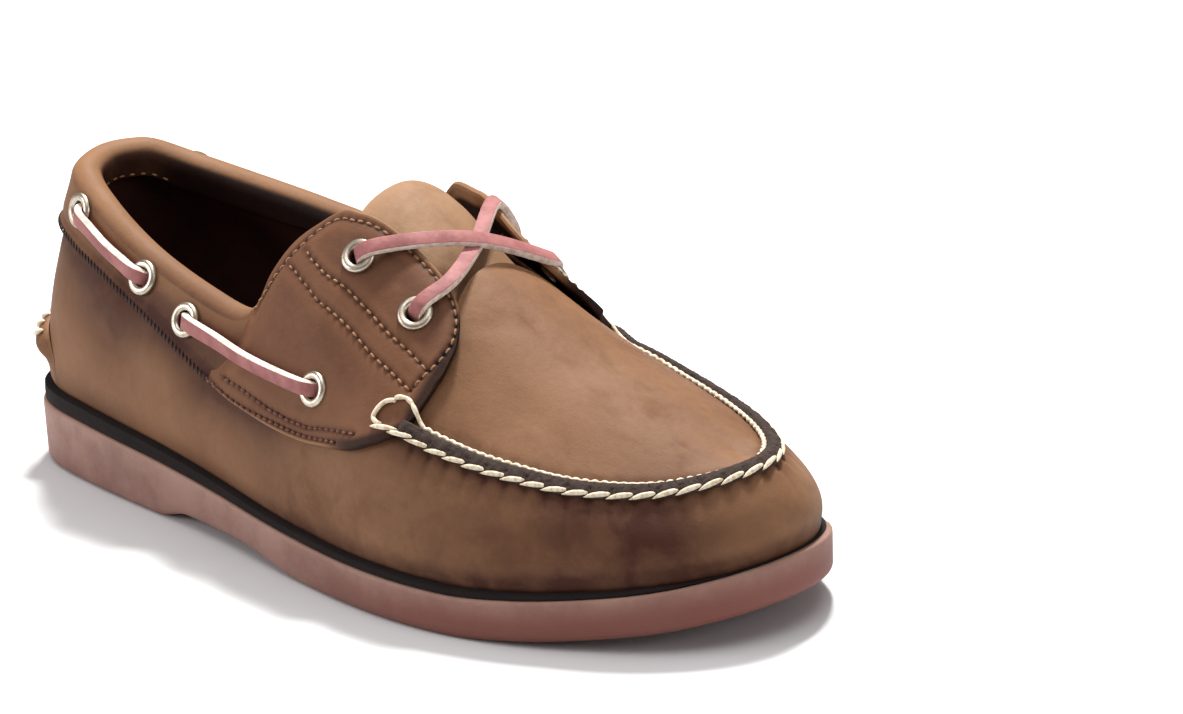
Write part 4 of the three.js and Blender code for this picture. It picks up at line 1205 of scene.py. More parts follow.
def seam_row(start, up, rise):
    """Surface for a route along the seam: shares run from its lateral to its medial end."""

    def surface(shares):
        station = mix(start, AROUND - start, shares)
        height = 1 + up / length_above(station)
        return offset_point(station, height, rise + seam_lift(station)), last_normal(station, height)

    return surface


ROUTE_STEPS = 900
seam_outer = Route(seam_row(THREAD_START, SEAM_OUTER, SEAT + 1.25), ROUTE_STEPS)
seam_inner = Route(seam_row(SEAM_START + 0.16, SEAM_INNER, 0.35), ROUTE_STEPS)
seam_stops = seam_outer.stops(SEAM_PITCH)
seam_count = len(seam_stops)


def seam_phase(station):
    """Count of outer stitches up to a station; a whole number falls between two stitches."""
    stations = np.linspace(THREAD_START, AROUND - THREAD_START, ROUTE_STEPS)
    return np.interp(station, stations, seam_outer.at / seam_outer.length * seam_count)


# Relief of the upper in millimetres. Dips have a size, a place down the wall or up the plug, and a reach.
PUCKER_DEPTH = 0.45
PUCKER_REACH = 3.4
SEAM_TROUGH = (-0.2, 0.8, 1.5)
INNER_DENT = (-0.55, SEAM_INNER, 1.6)
BAND_TUCK = (-0.4, 1.6, 2.6)
SWAY = 0.3
SWAY_WAVES = (13.0, 9.0, 31.0)


def upper_relief(station, height, points):
    """Soft troughs, puckers and creases of the upper, in millimetres out of the last."""
    section = section_of(station)
    wave = np.cos(2 * math.pi * seam_phase(station))
    below = below_line(station, height)
    in_seam = smooth(section, 7.45, 7.75)
    pucker = -PUCKER_DEPTH * wave * np.exp(-np.clip(below, 0, None) / PUCKER_REACH)
    trough = swelling(below, *SEAM_TROUGH)
    dent = swelling(above_line(station, height), *INNER_DENT) * (1 + 0.3 * wave)
    relief = in_seam * (np.where(height <= 1.02, pucker + trough, 0) + np.where(height > 1, dent, 0))
    tuck = swelling(below, *BAND_TUCK) * (1 - smooth(section, 6.2, 7.0))
    relief += np.where(height <= 1, tuck, 0)
    x, z = points[..., 0], points[..., 2]
    along, up, across = SWAY_WAVES
    sway = SWAY * np.sin(x / along + 2.1 * height) * np.sin(z / up + x / across)
    relief += sway * smooth(height, 0.1, 0.35) * (1 - smooth(height, 0.75, 0.95))
    return relief + creased(points) * smooth(height, 0.05, 0.2)


# Fine stations of the upper: closer together along the seam
UPPER_STATIONS = np.concatenate([
    np.arange(0, 7, 1 / 18),
    np.arange(7, 17, 1 / 32),
    np.arange(17, 24, 1 / 18),
])
UPPER_SHEET = 1.1
THROAT_SHIFT = 0.16
WALL_ROWS = 30
BAND_ROWS = 14
PLUG_ROWS = 28
FEATHER_ROWS = np.array([1.0, 0.6, 0.25])
LACE_HOLE = 3.4


def below_feather(points, inward_by):
    """Rows of points straight below the feather edge, and tucked in a little."""
    drop = wall_drop(points[..., 0])[..., None] * FEATHER_ROWS
    tucked = inward_by + 0.5 * np.broadcast_to(FEATHER_ROWS, drop.shape) ** 2
    return points[:, None] - spread(drop, UP) - spread(tucked, outward(UPPER_STATIONS)[:, None])


def upper_heights(stations):
    """Rows up each section: the wall, the stretch under the band, and the plug."""
    wall = np.broadcast_to(1 - (1 - np.linspace(0, 1, WALL_ROWS)) ** 1.25, (len(stations), WALL_ROWS))
    start = roll_start(stations)
    band = mix(1, start, np.linspace(0, 1, BAND_ROWS + 1)[None, 1:])
    plug = mix(start, 2, np.linspace(0, 1, PLUG_ROWS + 1)[None, 1:])
    return np.concatenate([wall, band, plug], 1)


def throat_shift(stations, heights):
    """How far the throat's edge leans along the shoe near the ridge, in stations."""
    beyond = np.clip(1 - (section_of(stations) - THROAT), 0, 1)
    in_plug = section_of(stations) >= THROAT - 0.04
    lateral = np.where(stations > TOE_TIP, -1, 1)
    return -lateral * THROAT_SHIFT * smooth(heights, 1.55, 1.95) * np.where(in_plug, beyond, 0)


def upper_tones(stations, heights, outer, is_plug):
    """Marks of the upper: painted shade under the band and the seam (with dirt below the seam), at the wall's
    foot, by the inner row and in pits between stitches; stains with painted shade, painted highlights, and
    the throat's cut edge.
    """
    section = section_of(stations)
    on_wall = heights <= 1
    below = below_line(stations, np.clip(heights, 0, 1))
    notch = smooth(np.cos(2 * math.pi * seam_phase(stations)), 0.35, 1) * smooth(section, 7.4, 7.6)
    # Painted shade: below the band's edge, below the seam (with dirt there as well), in the valleys between
    # stitches, at the wall's foot and in the dent by the inner row
    under_band = 0.95 * np.exp(-((below / 9.0) ** 1.5)) * (1 - smooth(section, 4.6, 6.0))
    under_seam = 0.8 * np.exp(-below / 3.0) * smooth(section, 7.1, 7.5)
    between_stitches = 0.45 * notch * np.exp(-below / 3.5)
    at_feather = 0.6 * (1 - smooth(heights, 0.0, 0.2))
    by_inner_row = 0.5 * bell(above_line(stations, heights) - SEAM_INNER, 2.2) * is_plug
    # Painted shade in the notches between stitches and in the groove under the band's edge
    in_notch = 0.12 * notch * bell(below - 1.0, 1.6)
    under_edge = 0.45 * bell(below - 0.6, 1.3) * (1 - smooth(section, 6.3, 7.0))
    throat = smooth(heights, 1.6, 1.7) * is_plug * (1 - smooth(section, THROAT, THROAT + 0.07))
    shade = on_wall * (under_band + under_seam + between_stitches)
    return {
        "dark": marks(outer, STAIN_AND_SHADE_MARKS) + at_feather + shade + by_inner_row,
        "light": marks(outer, PAINTED_HIGHLIGHT_MARKS),
        "pit_shade": on_wall * (in_notch + under_edge),
        "edge": 0.6 * throat,
    }


def build_upper():
    """Wall and plug as one sheet round the last, open at the throat and below the feather edge."""
    stations = UPPER_STATIONS[:, None]
    heights = upper_heights(stations)
    placed = stations + throat_shift(stations, heights)
    rough = last_point(placed, heights)
    outer = rough + spread(upper_relief(placed, heights, rough), last_normal(placed, heights))
    inner = offset_point(placed, heights, -UPPER_SHEET)
    outer = np.concatenate([below_feather(outer[:, 0], 0.0), outer], 1)
    inner = np.concatenate([below_feather(rough[:, 0], UPPER_SHEET), inner], 1)
    heights = np.concatenate([np.zeros((len(stations), len(FEATHER_ROWS))), heights], 1)
    is_plug = (section_of(UPPER_STATIONS) >= THROAT - 0.001)[:, None]
    keep = np.broadcast_to(is_plug & np.roll(is_plug, -1, 0), (len(stations), heights.shape[1] - 1)).copy()
    keep[:, : len(FEATHER_ROWS) + WALL_ROWS + BAND_ROWS - 1] = True
    holes = frames_on("band") + [eyelet_frames["flap_low", side] for side in SIDES]
    keep &= clear_of_holes(np.concatenate([outer, outer[:1]]), holes, LACE_HOLE)
    piece = thick_sheet(
        "upper_leather", outer, inner, [LEATHER], keep=keep, wrap=True,
        tones=upper_tones(stations, heights, outer, is_plug), inside={"dark": 1.0},
        slot="upper_leather", replaces=["upper"],
    )
    return weld(piece, SHEET_WELD)


LINING_DROP = 4.0


def build_lining():
    """Inside of the upper: from the footbed up to the band's inner edge, and under the throat."""
    stations = stations_round(12)[:, None]
    start = roll_start(stations)
    top = start - LINING_DROP / length_above(stations) * pad_share(stations)
    wall = np.broadcast_to(np.linspace(0.02, 1, 16), (len(stations), 16))
    heights = np.concatenate([wall, mix(1, top, np.linspace(0, 1, 13)[None, 1:])], 1)
    share = np.clip((heights - 1) / (start - 1), 0, 1)
    swell = mix(WALL, 2 * roll_radius(stations), smooth(share, 0.3, 1))
    outer = offset_point(stations, heights, -mix(UPPER_SHEET + 0.1, swell - 0.7, smooth(share, 0.2, 0.6)))
    inner = offset_point(stations, heights, -swell)
    return thick_sheet("upper_lining", outer, inner, [LINING], wrap=True, slot="lining_leather")


def build_plug_lining():
    """Inside of the toe plug, from the moccasin seam to the ridge on either side."""
    stations = np.linspace(THROAT, AROUND - THROAT, 181)[:, None]
    heights = np.broadcast_to(np.linspace(1.3, 2, 20)[None], (len(stations), 20))
    outer = offset_point(stations, heights, -UPPER_SHEET - 0.1)
    inner = offset_point(stations, heights, -WALL)
    return weld(thick_sheet("plug_lining", outer, inner, [LINING], slot="lining_leather"), SHEET_WELD)


# Collar band: from the band line over the roll, and down the inside to its own stitched edge
BAND_END_LOW = 3.95
BAND_END_HIGH = 4.45
UPRIGHT_SECTIONS = 3.0
BAND_TURN = 2 / 3
BAND_INSIDE = 6.0
BAND_FACE = OVERLAY_SEAT * 0.5
BAND_THINNING = 0.85
BAND_LEAST = 0.15
BAND_LOW_ROUND = 0.9
BAND_INSIDE_ROUND = 1.0
BAND_FOLD = (0.1, 1.3, 1.2)
BAND_DIP = (-0.35, 4.0, 1.3)
BAND_COLUMNS = 401
BAND_SHARES = np.linspace(0, 1, 36)[None] ** 1.2
BAND_ANGLES = np.linspace(90, -90, 25)[None, 1:]
BAND_DOWN = np.linspace(0, 1, 9)[None, 1:]
OVERLAY_HOLE = 3.35


def band_tones(columns, section, from_low, ending):
    """Marks of the band's outside, roll and inside: painted shade in its gathers, on the roll's inner side
    and down the inside, darker low down in front, painted sheen up the outside, and a pale rim of painted
    highlight and wear on the crest.
    """
    on_lateral = np.where(columns > 0, 1.0, 0.4)
    inward = 90 - BAND_ANGLES
    # Painted shade in the gathers at the lower edge and in the dip above them
    gather_shade = 0.8 * bell(from_low, 1.6) + 0.3 * bell(from_low - 4, 2.0)
    # Darker low down towards the band's front
    darker_front = 0.75 * smooth(section, 1.9, 3.2) * (1 - smooth(BAND_SHARES, 0.6, 1.0))
    rubbed = 0.5 * on_lateral * bell(section - 3.1, 0.6) * smooth(BAND_ANGLES, -10, 50)
    # Pale rim on the crest, painted highlight and wear, weaker on the lateral side towards the front
    rim = 0.75 * (1 - 0.55 * on_lateral * smooth(section, 2.2, 3.1))
    rim = rim * (1 - smooth(np.abs(BAND_ANGLES - 5), 48, 70))
    # Strength of the painted shade down the inside: less at the back
    hidden = mix(0.25, 0.92, smooth(section, 0.9, 2.0))
    stretches = {
        # Painted shade on the roll's inner side and all down the inside
        "dark": (gather_shade + darker_front, smooth(inward, 118, 144) + rubbed, 1.0),
        # Painted sheen up the outside towards the crest, and the crest's rim
        "light": (0.35 * smooth(BAND_SHARES, 0.4, 1), rim, 0.0),
        # Painted shade in the groove at the lower edge, on the roll's inner side and down the inside
        "pit_shade": (0.8 * bell(from_low, 0.8) * (1 - ending), hidden * smooth(inward, 122, 146), hidden),
    }
    rows = (BAND_SHARES.size, BAND_ANGLES.size, BAND_DOWN.size)
    return {
        key: np.concatenate([np.broadcast_to(v, (BAND_COLUMNS, n)) for v, n in zip(values, rows)], 1)
        for key, values in stretches.items()
    }


def build_band():
    """Band from flap to flap: up the collar's outside, round its padded rim and down inside."""
    columns = np.linspace(-1, 1, BAND_COLUMNS)[:, None]
    section = np.abs(columns) * (UPRIGHT_SECTIONS + BAND_TURN)
    beyond = np.clip((section - UPRIGHT_SECTIONS) / BAND_TURN, 0, 1)

    def placed(share):
        at = mix(np.minimum(section, UPRIGHT_SECTIONS), mix(BAND_END_LOW, BAND_END_HIGH, share), beyond)
        return np.where(columns < 0, AROUND - at, at)

    ending = smooth(beyond, 0.55, 1.0)
    face = BAND_FACE + BAND_THICKNESS * (1 - BAND_THINNING * ending)
    station = placed(BAND_SHARES)
    height = mix(1, roll_start(station), BAND_SHARES)
    from_low = BAND_SHARES * length_above(station)
    fold = swelling(from_low, *BAND_FOLD) + swelling(from_low, *BAND_DIP)
    outside = face + fold * (1 - ending) - rounding(from_low, BAND_LOW_ROUND)
    under = np.minimum(BAND_FACE * (1 - ending), outside - BAND_LEAST)
    end = placed(1.0)
    fall = roll_start(end) - BAND_DOWN * BAND_INSIDE / length_above(end) * (1 - beyond)
    pad = 2 * roll_radius(end)
    outer = np.concatenate([
        offset_point(station, height, outside),
        roll_point(end, BAND_ANGLES, face),
        offset_point(end, fall, -pad - face + rounding(BAND_INSIDE * (1 - BAND_DOWN), BAND_INSIDE_ROUND)),
    ], 1)
    inner = np.concatenate([
        offset_point(station, height, under),
        roll_point(end, BAND_ANGLES, -0.05),
        offset_point(end, fall, -pad + 0.3),
    ], 1)
    return thick_sheet(
        "collar_band_leather", outer, inner, [LEATHER],
        keep=clear_of_holes(outer, frames_on("band"), OVERLAY_HOLE),
        tones=band_tones(columns, section, from_low, ending), slot="upper_leather", replaces=["collar_band"],
    )


def route_through(places, surface, count):
    """Route over a surface through given places, of two coordinates each."""
    lengths = np.linspace(0, 1, len(places))
    first, second = (steady_curve(lengths, values) for values in np.array(places, float).T)
    return Route(lambda shares: surface(first(shares), second(shares)), count)


def flap_route(side, places):
    """Route over a flap's face through places (along, across)."""

    def surface(along, across):
        return flap_point(along, across, side, FLAP_THICKNESS), flap_normal(along, across, side)

    return route_through(places, surface, 500)


# Flap stitches: rows of places along the flap and up its width
FLAP_ROWS = {
    "row_rear": [(0.22, 0.825), (0.28, 0.75), (0.35, 0.677), (0.43, 0.622), (0.5, 0.59), (0.555, 0.56),
                 (0.605, 0.525), (0.662, 0.485), (0.72, 0.43), (0.785, 0.37)],
    "row_front": [(0.283, 0.845), (0.35, 0.77), (0.417, 0.725), (0.465, 0.708), (0.508, 0.694),
                  (0.547, 0.672), (0.597, 0.648), (0.647, 0.62), (0.7, 0.59), (0.75, 0.565), (0.807, 0.544)],
    "edge_top": [(0.05, 0.86), (0.11, 0.85), (0.17, 0.86), (0.217, 0.89), (0.27, 0.925), (0.33, 0.945),
                 (0.39, 0.95), (0.445, 0.955), (0.48, 0.96), (0.527, 0.963), (0.59, 0.965), (0.638, 0.965),
                 (0.688, 0.963), (0.73, 0.963), (0.77, 0.96), (0.805, 0.95), (0.838, 0.91), (0.852, 0.83),
                 (0.846, 0.71), (0.825, 0.58), (0.803, 0.48), (0.79, 0.4)],
    "low_upper": [(0.03, 0.2), (0.1, 0.19), (0.17, 0.155), (0.24, 0.13), (0.31, 0.122), (0.4, 0.132),
                  (0.5, 0.15), (0.6, 0.14), (0.66, 0.125)],
    "low_lower": [(0.02, 0.04), (0.065, 0.04), (0.13, 0.036), (0.2, 0.04), (0.29, 0.058), (0.36, 0.065),
                  (0.425, 0.066), (0.49, 0.062), (0.55, 0.055), (0.61, 0.05)],
}
LOW_ROWS = ("low_upper", "low_lower")
STITCH_PITCH = {key: 2.9 if key in LOW_ROWS else 3.3 for key in FLAP_ROWS}
LINE_STEP = 1.2
flap_routes = {(key, side): flap_route(side, places) for key, places in FLAP_ROWS.items() for side in SIDES}


def hole_points(key, side):
    """Needle holes of a row, halfway between its stitches."""
    route, pitch = flap_routes[key, side], STITCH_PITCH[key]
    return route.point(route.stops(pitch) + pitch / 2)


def line_points(key, side):
    route = flap_routes[key, side]
    return route.point(np.arange(0, route.length, LINE_STEP))


def flap_tones(along, across, sides, near_hole, near_line):
    """Marks of a flap's face and of its inner side: painted shade round the front corner where the edge turns
    down, in the needle holes, along the rows and down the inner side under the edge, pale at the cut edge.
    """
    rear, away, off_low = sides[0], np.minimum.reduce(sides[1:]), sides[2]
    # The front corner and the low front, where the edge turns down: painted shade
    low_front = smooth(along, 0.56, 0.68) * (1 - smooth(across, 0.3, 0.5))
    corner = np.maximum(smooth(along, 0.72, 0.83), low_front)
    turned = smooth(along, 0.79 + 0.05 * smooth(across, 0.75, 0.95), 0.87)
    low_corner = smooth(along, 0.56, 0.66) * (1 - smooth(off_low, 2.2, 5.0))
    rim = corner * (1 - smooth(away, 0.8, 3.0))
    low_rows = bell(off_low - 4.5, 3.5) * (1 - smooth(along, 0.6, 0.72))
    by_line = 0.45 * bell(near_line - 2.6, 1.6) * smooth(away, 0.5, 2)
    # Face: painted shade along the rows and in the needle holes; darker by the low rows and over the upper
    # half; paler beside the rows, at the rear and along a low strip
    face = {
        "dark": 0.35 * bell(near_line, 1.5) + 0.12 * low_rows + 0.45 * smooth(across, 0.5, 0.9),
        "light": by_line + 0.6 * (1 - smooth(rear, 0, 20)) + 0.35 * bell(across - 0.25, 0.16),
        "pit_shade": 0.9 * bell(near_hole, 0.62) + 0.88 * np.maximum.reduce([turned, low_corner, rim]),
        "edge": 0.85 * (1 - smooth(away, 0.5, 1.3)) * (1 - corner),
    }
    # Inner side: the cut edge's tan near the top, painted shade below it and round the corner
    inside = {
        "dark": np.maximum(smooth(away, 2, 5), corner),
        "light": 0.2 * (1 - corner),
        "pit_shade": 0.8 * np.maximum(smooth(away, 4, 6), corner),
        "edge": 0.95 * (1 - smooth(away, 3, 6)) * (1 - corner),
    }
    return face, inside


# Relief of a flap in millimetres: dips at its holes and rows of stitches, a soft sway between them, and how
# far from its rear end it has merged with the band
HOLE_DENT = (0.55, 0, 0.7)
ROW_DENT = (0.32, 0, 1.1)
FLAP_SWAY = 0.3
FLAP_WAVES = (7.5, 11.0)
FLAP_MERGING = 15
FLAP_ROUND = 0.9
FLAP_UNDER_ROUND = 0.5


def build_flap(side):
    """Flap over its bed on the last: dented at the holes and rows, eased between, and merging behind."""
    along, across = np.meshgrid(np.linspace(0, 1, 201), np.linspace(0, 1, 91), indexing="ij")
    station, height, clear = flap_place(along, across, side)
    flat = offset_point(station, height, clear)
    normal = last_normal(station, height)
    face = flat + FLAP_THICKNESS * normal
    _, sides = edge_distance(flat)
    rear, away = sides[0], np.minimum.reduce(sides[1:])
    near_hole = nearest(face, np.concatenate([hole_points(key, side) for key in FLAP_ROWS]))
    near_line = nearest(face, np.concatenate([line_points(key, side) for key in FLAP_ROWS]))
    dent = swelling(near_hole, *HOLE_DENT) + swelling(near_line, *ROW_DENT)
    along_wave, up_wave = FLAP_WAVES
    sway = FLAP_SWAY * np.sin(face[..., 0] / along_wave + face[..., 2] / up_wave) * smooth(away, 2, 8)
    merging = smooth(rear, 0, FLAP_MERGING)
    thick = mix(0.2, FLAP_THICKNESS, merging) - rounding(away, FLAP_ROUND)
    outer = flat + spread(thick - (dent - sway) * smooth(rear, 2, 8), normal)
    cut = np.minimum(rounding(away, FLAP_UNDER_ROUND), thick * 0.5)
    inner = flat + spread(cut - 0.5 * (1 - merging), normal)
    tones, inside = flap_tones(along, across, sides, near_hole, near_line)
    return thick_sheet(
        f"eyestay_{side}_leather", outer, inner, [FLAP_LEATHER],
        keep=clear_of_holes(outer, frames_on("flap", side), OVERLAY_HOLE), flip=side == "medial",
        tones=tones, inside=inside, slot="upper_leather", replaces=[f"eyestay_{side}"],
    )


# Stitches: length, width and height
ROW_STITCH = (2.3, 0.8, 0.8)


def build_flap_threads(side):
    upper_rows = [key for key in FLAP_ROWS if key not in LOW_ROWS]
    for group, keys, material in (("tan", upper_rows, TAN_THREAD), ("brown", LOW_ROWS, DARK_THREAD)):
        routes = [(flap_routes[key, side], STITCH_PITCH[key]) for key in keys]
        each = [route.frame(route.stops(pitch)) for route, pitch in routes]
        frames = [np.concatenate(values) for values in zip(*each)]
        name = f"eyestay_{side}_{group}_stitches"
        beads(name, frames, ROW_STITCH, material, "upper_leather", lift=-0.18, bend=0.3)


# Tongue, section by section: its width on either side in heights below the ridge, how far its face stands off
# the last on either side in millimetres, and the width at which its lateral shoulder ends
TONGUE = {
    "station": [5.55, 5.68, 5.9, 6.2, 6.5, 6.8, 7.1, 7.5, 8.0],
    "lateral": [0.2, 0.36, 0.48, 0.56, 0.6, 0.62, 0.62, 0.62, 0.6],
    "medial": [0.26, 0.36, 0.42, 0.46, 0.52, 0.58, 0.62, 0.62, 0.6],
    "lateral_crown": [0.6, 1.6, 2.9, 2.6, 1.2, -0.6, -2.6, -2.6, -2.6],
    "medial_crown": [3.6, 3.6, 3.4, 2.6, 1.2, -0.6, -2.6, -2.6, -2.6],
    "shoulder": [0.3, 0.3, 0.3, 0.28, 0.24, 0.2, 0.2, 0.2, 0.2],
}
tongue_curve = {key: steady_curve(TONGUE["station"], TONGUE[key]) for key in TONGUE if key != "station"}
TONGUE_START, TONGUE_END = TONGUE["station"][0], TONGUE["station"][-1]
TONGUE_CORNER = 0.5
TONGUE_EASE = 110
TONGUE_ROUND = 0.9
TONGUE_UNDER_ROUND = 0.6
HEM = 15
HEM_REACH = 1.2
HEM_DEPTH = 0.1
WRINKLE = 0.2
WRINKLE_WAVES = (4.2, 14.0)


def tongue_place(section, across):
    """Station, height and offset of the tongue's face."""
    medial = across > 0
    at = {key: curve(section) for key, curve in tongue_curve.items()}
    away = np.where(medial, at["medial"], at["lateral"]) * np.abs(across)
    crown = np.where(medial, at["medial_crown"], at["lateral_crown"])
    beside = np.minimum(crown, -2 * SEAT)
    falls = smooth(away, np.where(medial, 0.14, 0), np.where(medial, 0.42, at["shoulder"]))
    slope = mix(crown, beside, falls)
    sink = np.where(medial, smooth(section, 6.0, 6.6), 1)
    top = mix(slope, -WALL - 2 * SEAT, sink * smooth(away, 0.3, 0.46))
    return np.where(medial, AROUND - section, section), 2 - away, top


def evened(rows, passes):
    """Rows of points spaced evenly along their length, and smoothed between their ends."""
    even = np.linspace(0, 1, rows.shape[1])
    result = np.empty_like(rows)
    for i, row in enumerate(rows):
        at = np.append(0, np.cumsum(np.linalg.norm(np.diff(row, axis=0), axis=1)))
        for axis in range(3):
            result[i, :, axis] = np.interp(even * at[-1], at, row[:, axis])
    for _ in range(passes):
        result[:, 1:-1] = (result[:, :-2] + 2 * result[:, 1:-1] + result[:, 2:]) / 4
    return result


def build_tongue():
    """Tongue under the throat, evened out between its ends; its free end has round corners and a hem."""
    share, across = np.meshgrid(np.linspace(0, 1, 101), np.linspace(-1, 1, 91), indexing="ij")
    width = np.abs(across)
    corner = TONGUE_CORNER * np.where(across < 0, width**1.4, 0.3 * width**2.2)
    station, height, top = tongue_place(mix(TONGUE_START + corner, TONGUE_END, share), across)
    face = evened(offset_point(station, height, top), TONGUE_EASE)
    normal = unit(np.cross(np.gradient(face, axis=0), np.gradient(face, axis=1)))
    away, sides = edge_distance(face)
    from_end = sides[0]
    seam = bell(from_end - HEM, HEM_REACH)
    along_wave, aside_wave = WRINKLE_WAVES
    waves = np.sin(face[..., 0] / along_wave + face[..., 1] / aside_wave)
    wrinkle = WRINKLE * waves * smooth(from_end, HEM - 1, HEM + 7)
    outer = face + spread(wrinkle - rounding(away, TONGUE_ROUND) - HEM_DEPTH * seam, normal)
    inner = face + spread(rounding(away, TONGUE_UNDER_ROUND) - TONGUE_THICKNESS, normal)
    # Painted shade in the hem's groove and further under the throat, and a painted highlight near the free
    # end
    tones = {
        "dark": 0.12 * seam + 0.4 * smooth(from_end, 24, 44),
        "light": 0.5 * smooth(from_end, HEM - 1, 2),
        "edge": 0.6 * (away < 0.8),
    }
    return thick_sheet(
        "tongue_leather", outer, inner, [PALE_LEATHER], tones=tones, inside={"dark": 1.0, "light": 0.0},
        slot="upper_leather", replaces=["tongue"],
    )


# Raised seam: shares of its span up from the moccasin seam, and of its height over the plug
SEAM_SECTION = {
    "up": [0, 0.05, 0.12, 0.22, 0.38, 0.55, 0.72, 0.86, 0.96, 1.0],
    "rise": [0.1, 0.45, 0.75, 0.92, 1.0, 1.0, 0.97, 0.9, 0.6, 0.1],
}
SECTION_RUN = 29.0
SEAM_SQUEEZE = 0.14
SEAM_ROUGHNESS = 0.14
SEAM_PIT = 0.35
SEAM_PIT_PLACE = 0.42
SEAM_BASE = 0.1


def build_seam():
    columns = np.linspace(SEAM_START, AROUND - SEAM_START, 680)[:, None]
    phase = seam_phase(columns)
    places = range(len(SEAM_SECTION["up"]))
    rows = np.linspace(0, places[-1], 28)[None]
    up, rise = (steady_curve(places, SEAM_SECTION[key])(rows) for key in ("up", "rise"))
    height = 1 + up * SEAM_SPAN / length_above(columns)
    squeeze = 1 - SEAM_SQUEEZE * (0.5 + 0.5 * np.cos(2 * math.pi * phase)) * (1 - smooth(up, 0.2, 0.6))
    rough = SEAM_ROUGHNESS * np.sin(columns * 91.0 + up * 5) * np.sin(columns * 37.0 + up * 9)
    from_end = np.clip((section_of(columns) - SEAM_START) * SECTION_RUN, 0, None)
    lift = seam_lift(columns)
    # Stitch holes, dipped, with painted shade in them
    hole = SEAM_PIT * (bell(np.abs(np.mod(phase + 0.5, 1) - 0.5), 0.09) * bell(up - SEAM_PIT_PLACE, 0.1))
    raised_by = SEAT + lift + (SEAM_HEIGHT * squeeze + rough) * rise - rounding(from_end, 1.0)
    outer = offset_point(columns, height, raised_by - hole)
    inner = offset_point(columns, height, SEAM_BASE + lift + 0 * up)
    return thick_sheet(
        "apron_seam_edge", outer, inner, [EDGE], tones={"pit_shade": hole}, slot="edge_leather",
        replaces=["apron_seam"],
    )


OUTER_STITCH = (10.2, 1.7, 1.8)
STITCH_SLANT = 10
OUTER_THREAD = 0.45
OUTER_WANDER = 0.45
OUTER_SINK = 0.15


def build_seam_threads():
    beads(
        "seam_outer_stitches", seam_outer.frame(seam_stops), OUTER_STITCH, WHITE_THREAD, "edge_leather",
        lift=0.25, slant=STITCH_SLANT, bend=0.75, taper=0.8, rings=15, around=10,
    )
    steps = np.linspace(0, seam_outer.length, seam_count * 12)
    points, _, aside, normals = seam_outer.frame(steps)
    turn = 2 * np.mod(steps / seam_outer.length * seam_count, 1) - 1
    points = points + spread(OUTER_WANDER * np.sin(np.pi * turn), aside) - OUTER_SINK * normals
    thread_mesh("seam_outer_thread", points, aside, OUTER_THREAD, OUTER_THREAD, 8)


# Inner row: how far the thread wanders aside and up, and its half-width with its change at each turn
INNER_WANDER = (0.18, 0.16)
INNER_THREAD = (0.7, 0.1)
LOOP_THREAD = (0.75, 0.7)

# Thread at the seam's ends, as places along the flap, up its width and above it: it comes up through the
# flap's corner and runs on as the seam's inner row, and a loop turns round beside it
LOOP_RISE = FLAP_THICKNESS + 0.45
THREAD_RISING = [
    (0.745, 0.31, 0.5), (0.752, 0.318, LOOP_RISE), (0.787, 0.312, LOOP_RISE), (0.83, 0.26, LOOP_RISE),
    (0.865, 0.2, LOOP_RISE),
]
END_LOOP = [
    (0.738, 0.165, 0.9), (0.722, 0.178, LOOP_RISE), (0.704, 0.215, LOOP_RISE), (0.706, 0.262, LOOP_RISE),
    (0.72, 0.295, LOOP_RISE), (0.742, 0.302, LOOP_RISE), (0.748, 0.303, 0.5),
]


def places_on_flap(places, side):
    return [flap_point(along, across, side, above) for along, across, above in places]


def build_inner_thread():
    steps = np.linspace(0, seam_inner.length, seam_count * 14)
    points, _, aside, normals = seam_inner.frame(steps)
    turn = 4 * math.pi * steps / seam_inner.length * seam_count
    aside_by, up_by = INNER_WANDER
    cord = points + spread(aside_by * np.sin(turn), aside) + spread(up_by * np.cos(turn), normals)
    start = smooth_path([*places_on_flap(THREAD_RISING, "lateral"), *cord[4:10:2]], 40)
    end = smooth_path([*cord[-10:-4:2], *places_on_flap(THREAD_RISING, "medial")[::-1]], 40)
    whole = np.concatenate([start[:-1], cord[8:-10], end[1:]])
    run = unit(np.gradient(whole, axis=0))
    width, change = INNER_THREAD
    lumps = width + change * np.cos(np.linspace(0, 4 * math.pi * seam_count, len(whole)))
    thread_mesh("seam_inner_thread", whole, unit(np.cross(UP + 0 * whole, run)), lumps, lumps)
    for side in SIDES:
        path = smooth_path(places_on_flap(END_LOOP, side), 48)
        out = last_normal(on_side(7.1, side), 1.1)
        aside = np.cross(unit(np.gradient(path, axis=0)), out)
        thread_mesh(f"seam_end_loop_{side}", path, aside, *LOOP_THREAD)


# Heel tab: the moccasin's bottom turned up behind the heel into a short beak
HEEL_TAB = {
    "station": [-1.45, -1.2, -0.9, -0.45, 0, 0.45, 0.9, 1.2, 1.45],
    "top": [0.14, 0.27, 0.32, 0.34, 0.345, 0.34, 0.32, 0.27, 0.14],
}
HEEL_BEAK = {
    "share": [0, 0.25, 0.45, 0.6, 0.72, 0.84, 0.93, 1.0],
    "out": [0.1, 0.4, 1.5, 3.4, 4.0, 3.1, 1.6, 0.3],
}
HEEL_TAB_REACH = 1.42
HEEL_STITCH = (4.6, 2.0, 1.7)
HEEL_STITCH_PITCH = 5.0
HEEL_STITCH_SLANT = 70.7
HEEL_STITCH_REACH = 1.12
HEEL_STITCH_PLACE = 0.88
HEEL_STITCH_OUT = (0.5, 2.9)
heel_tab_top = steady_curve(HEEL_TAB["station"], HEEL_TAB["top"])
heel_beak = steady_curve(HEEL_BEAK["share"], HEEL_BEAK["out"])


def beak_share(station):
    return 1 - smooth(np.abs(station), 1.08, HEEL_TAB_REACH)


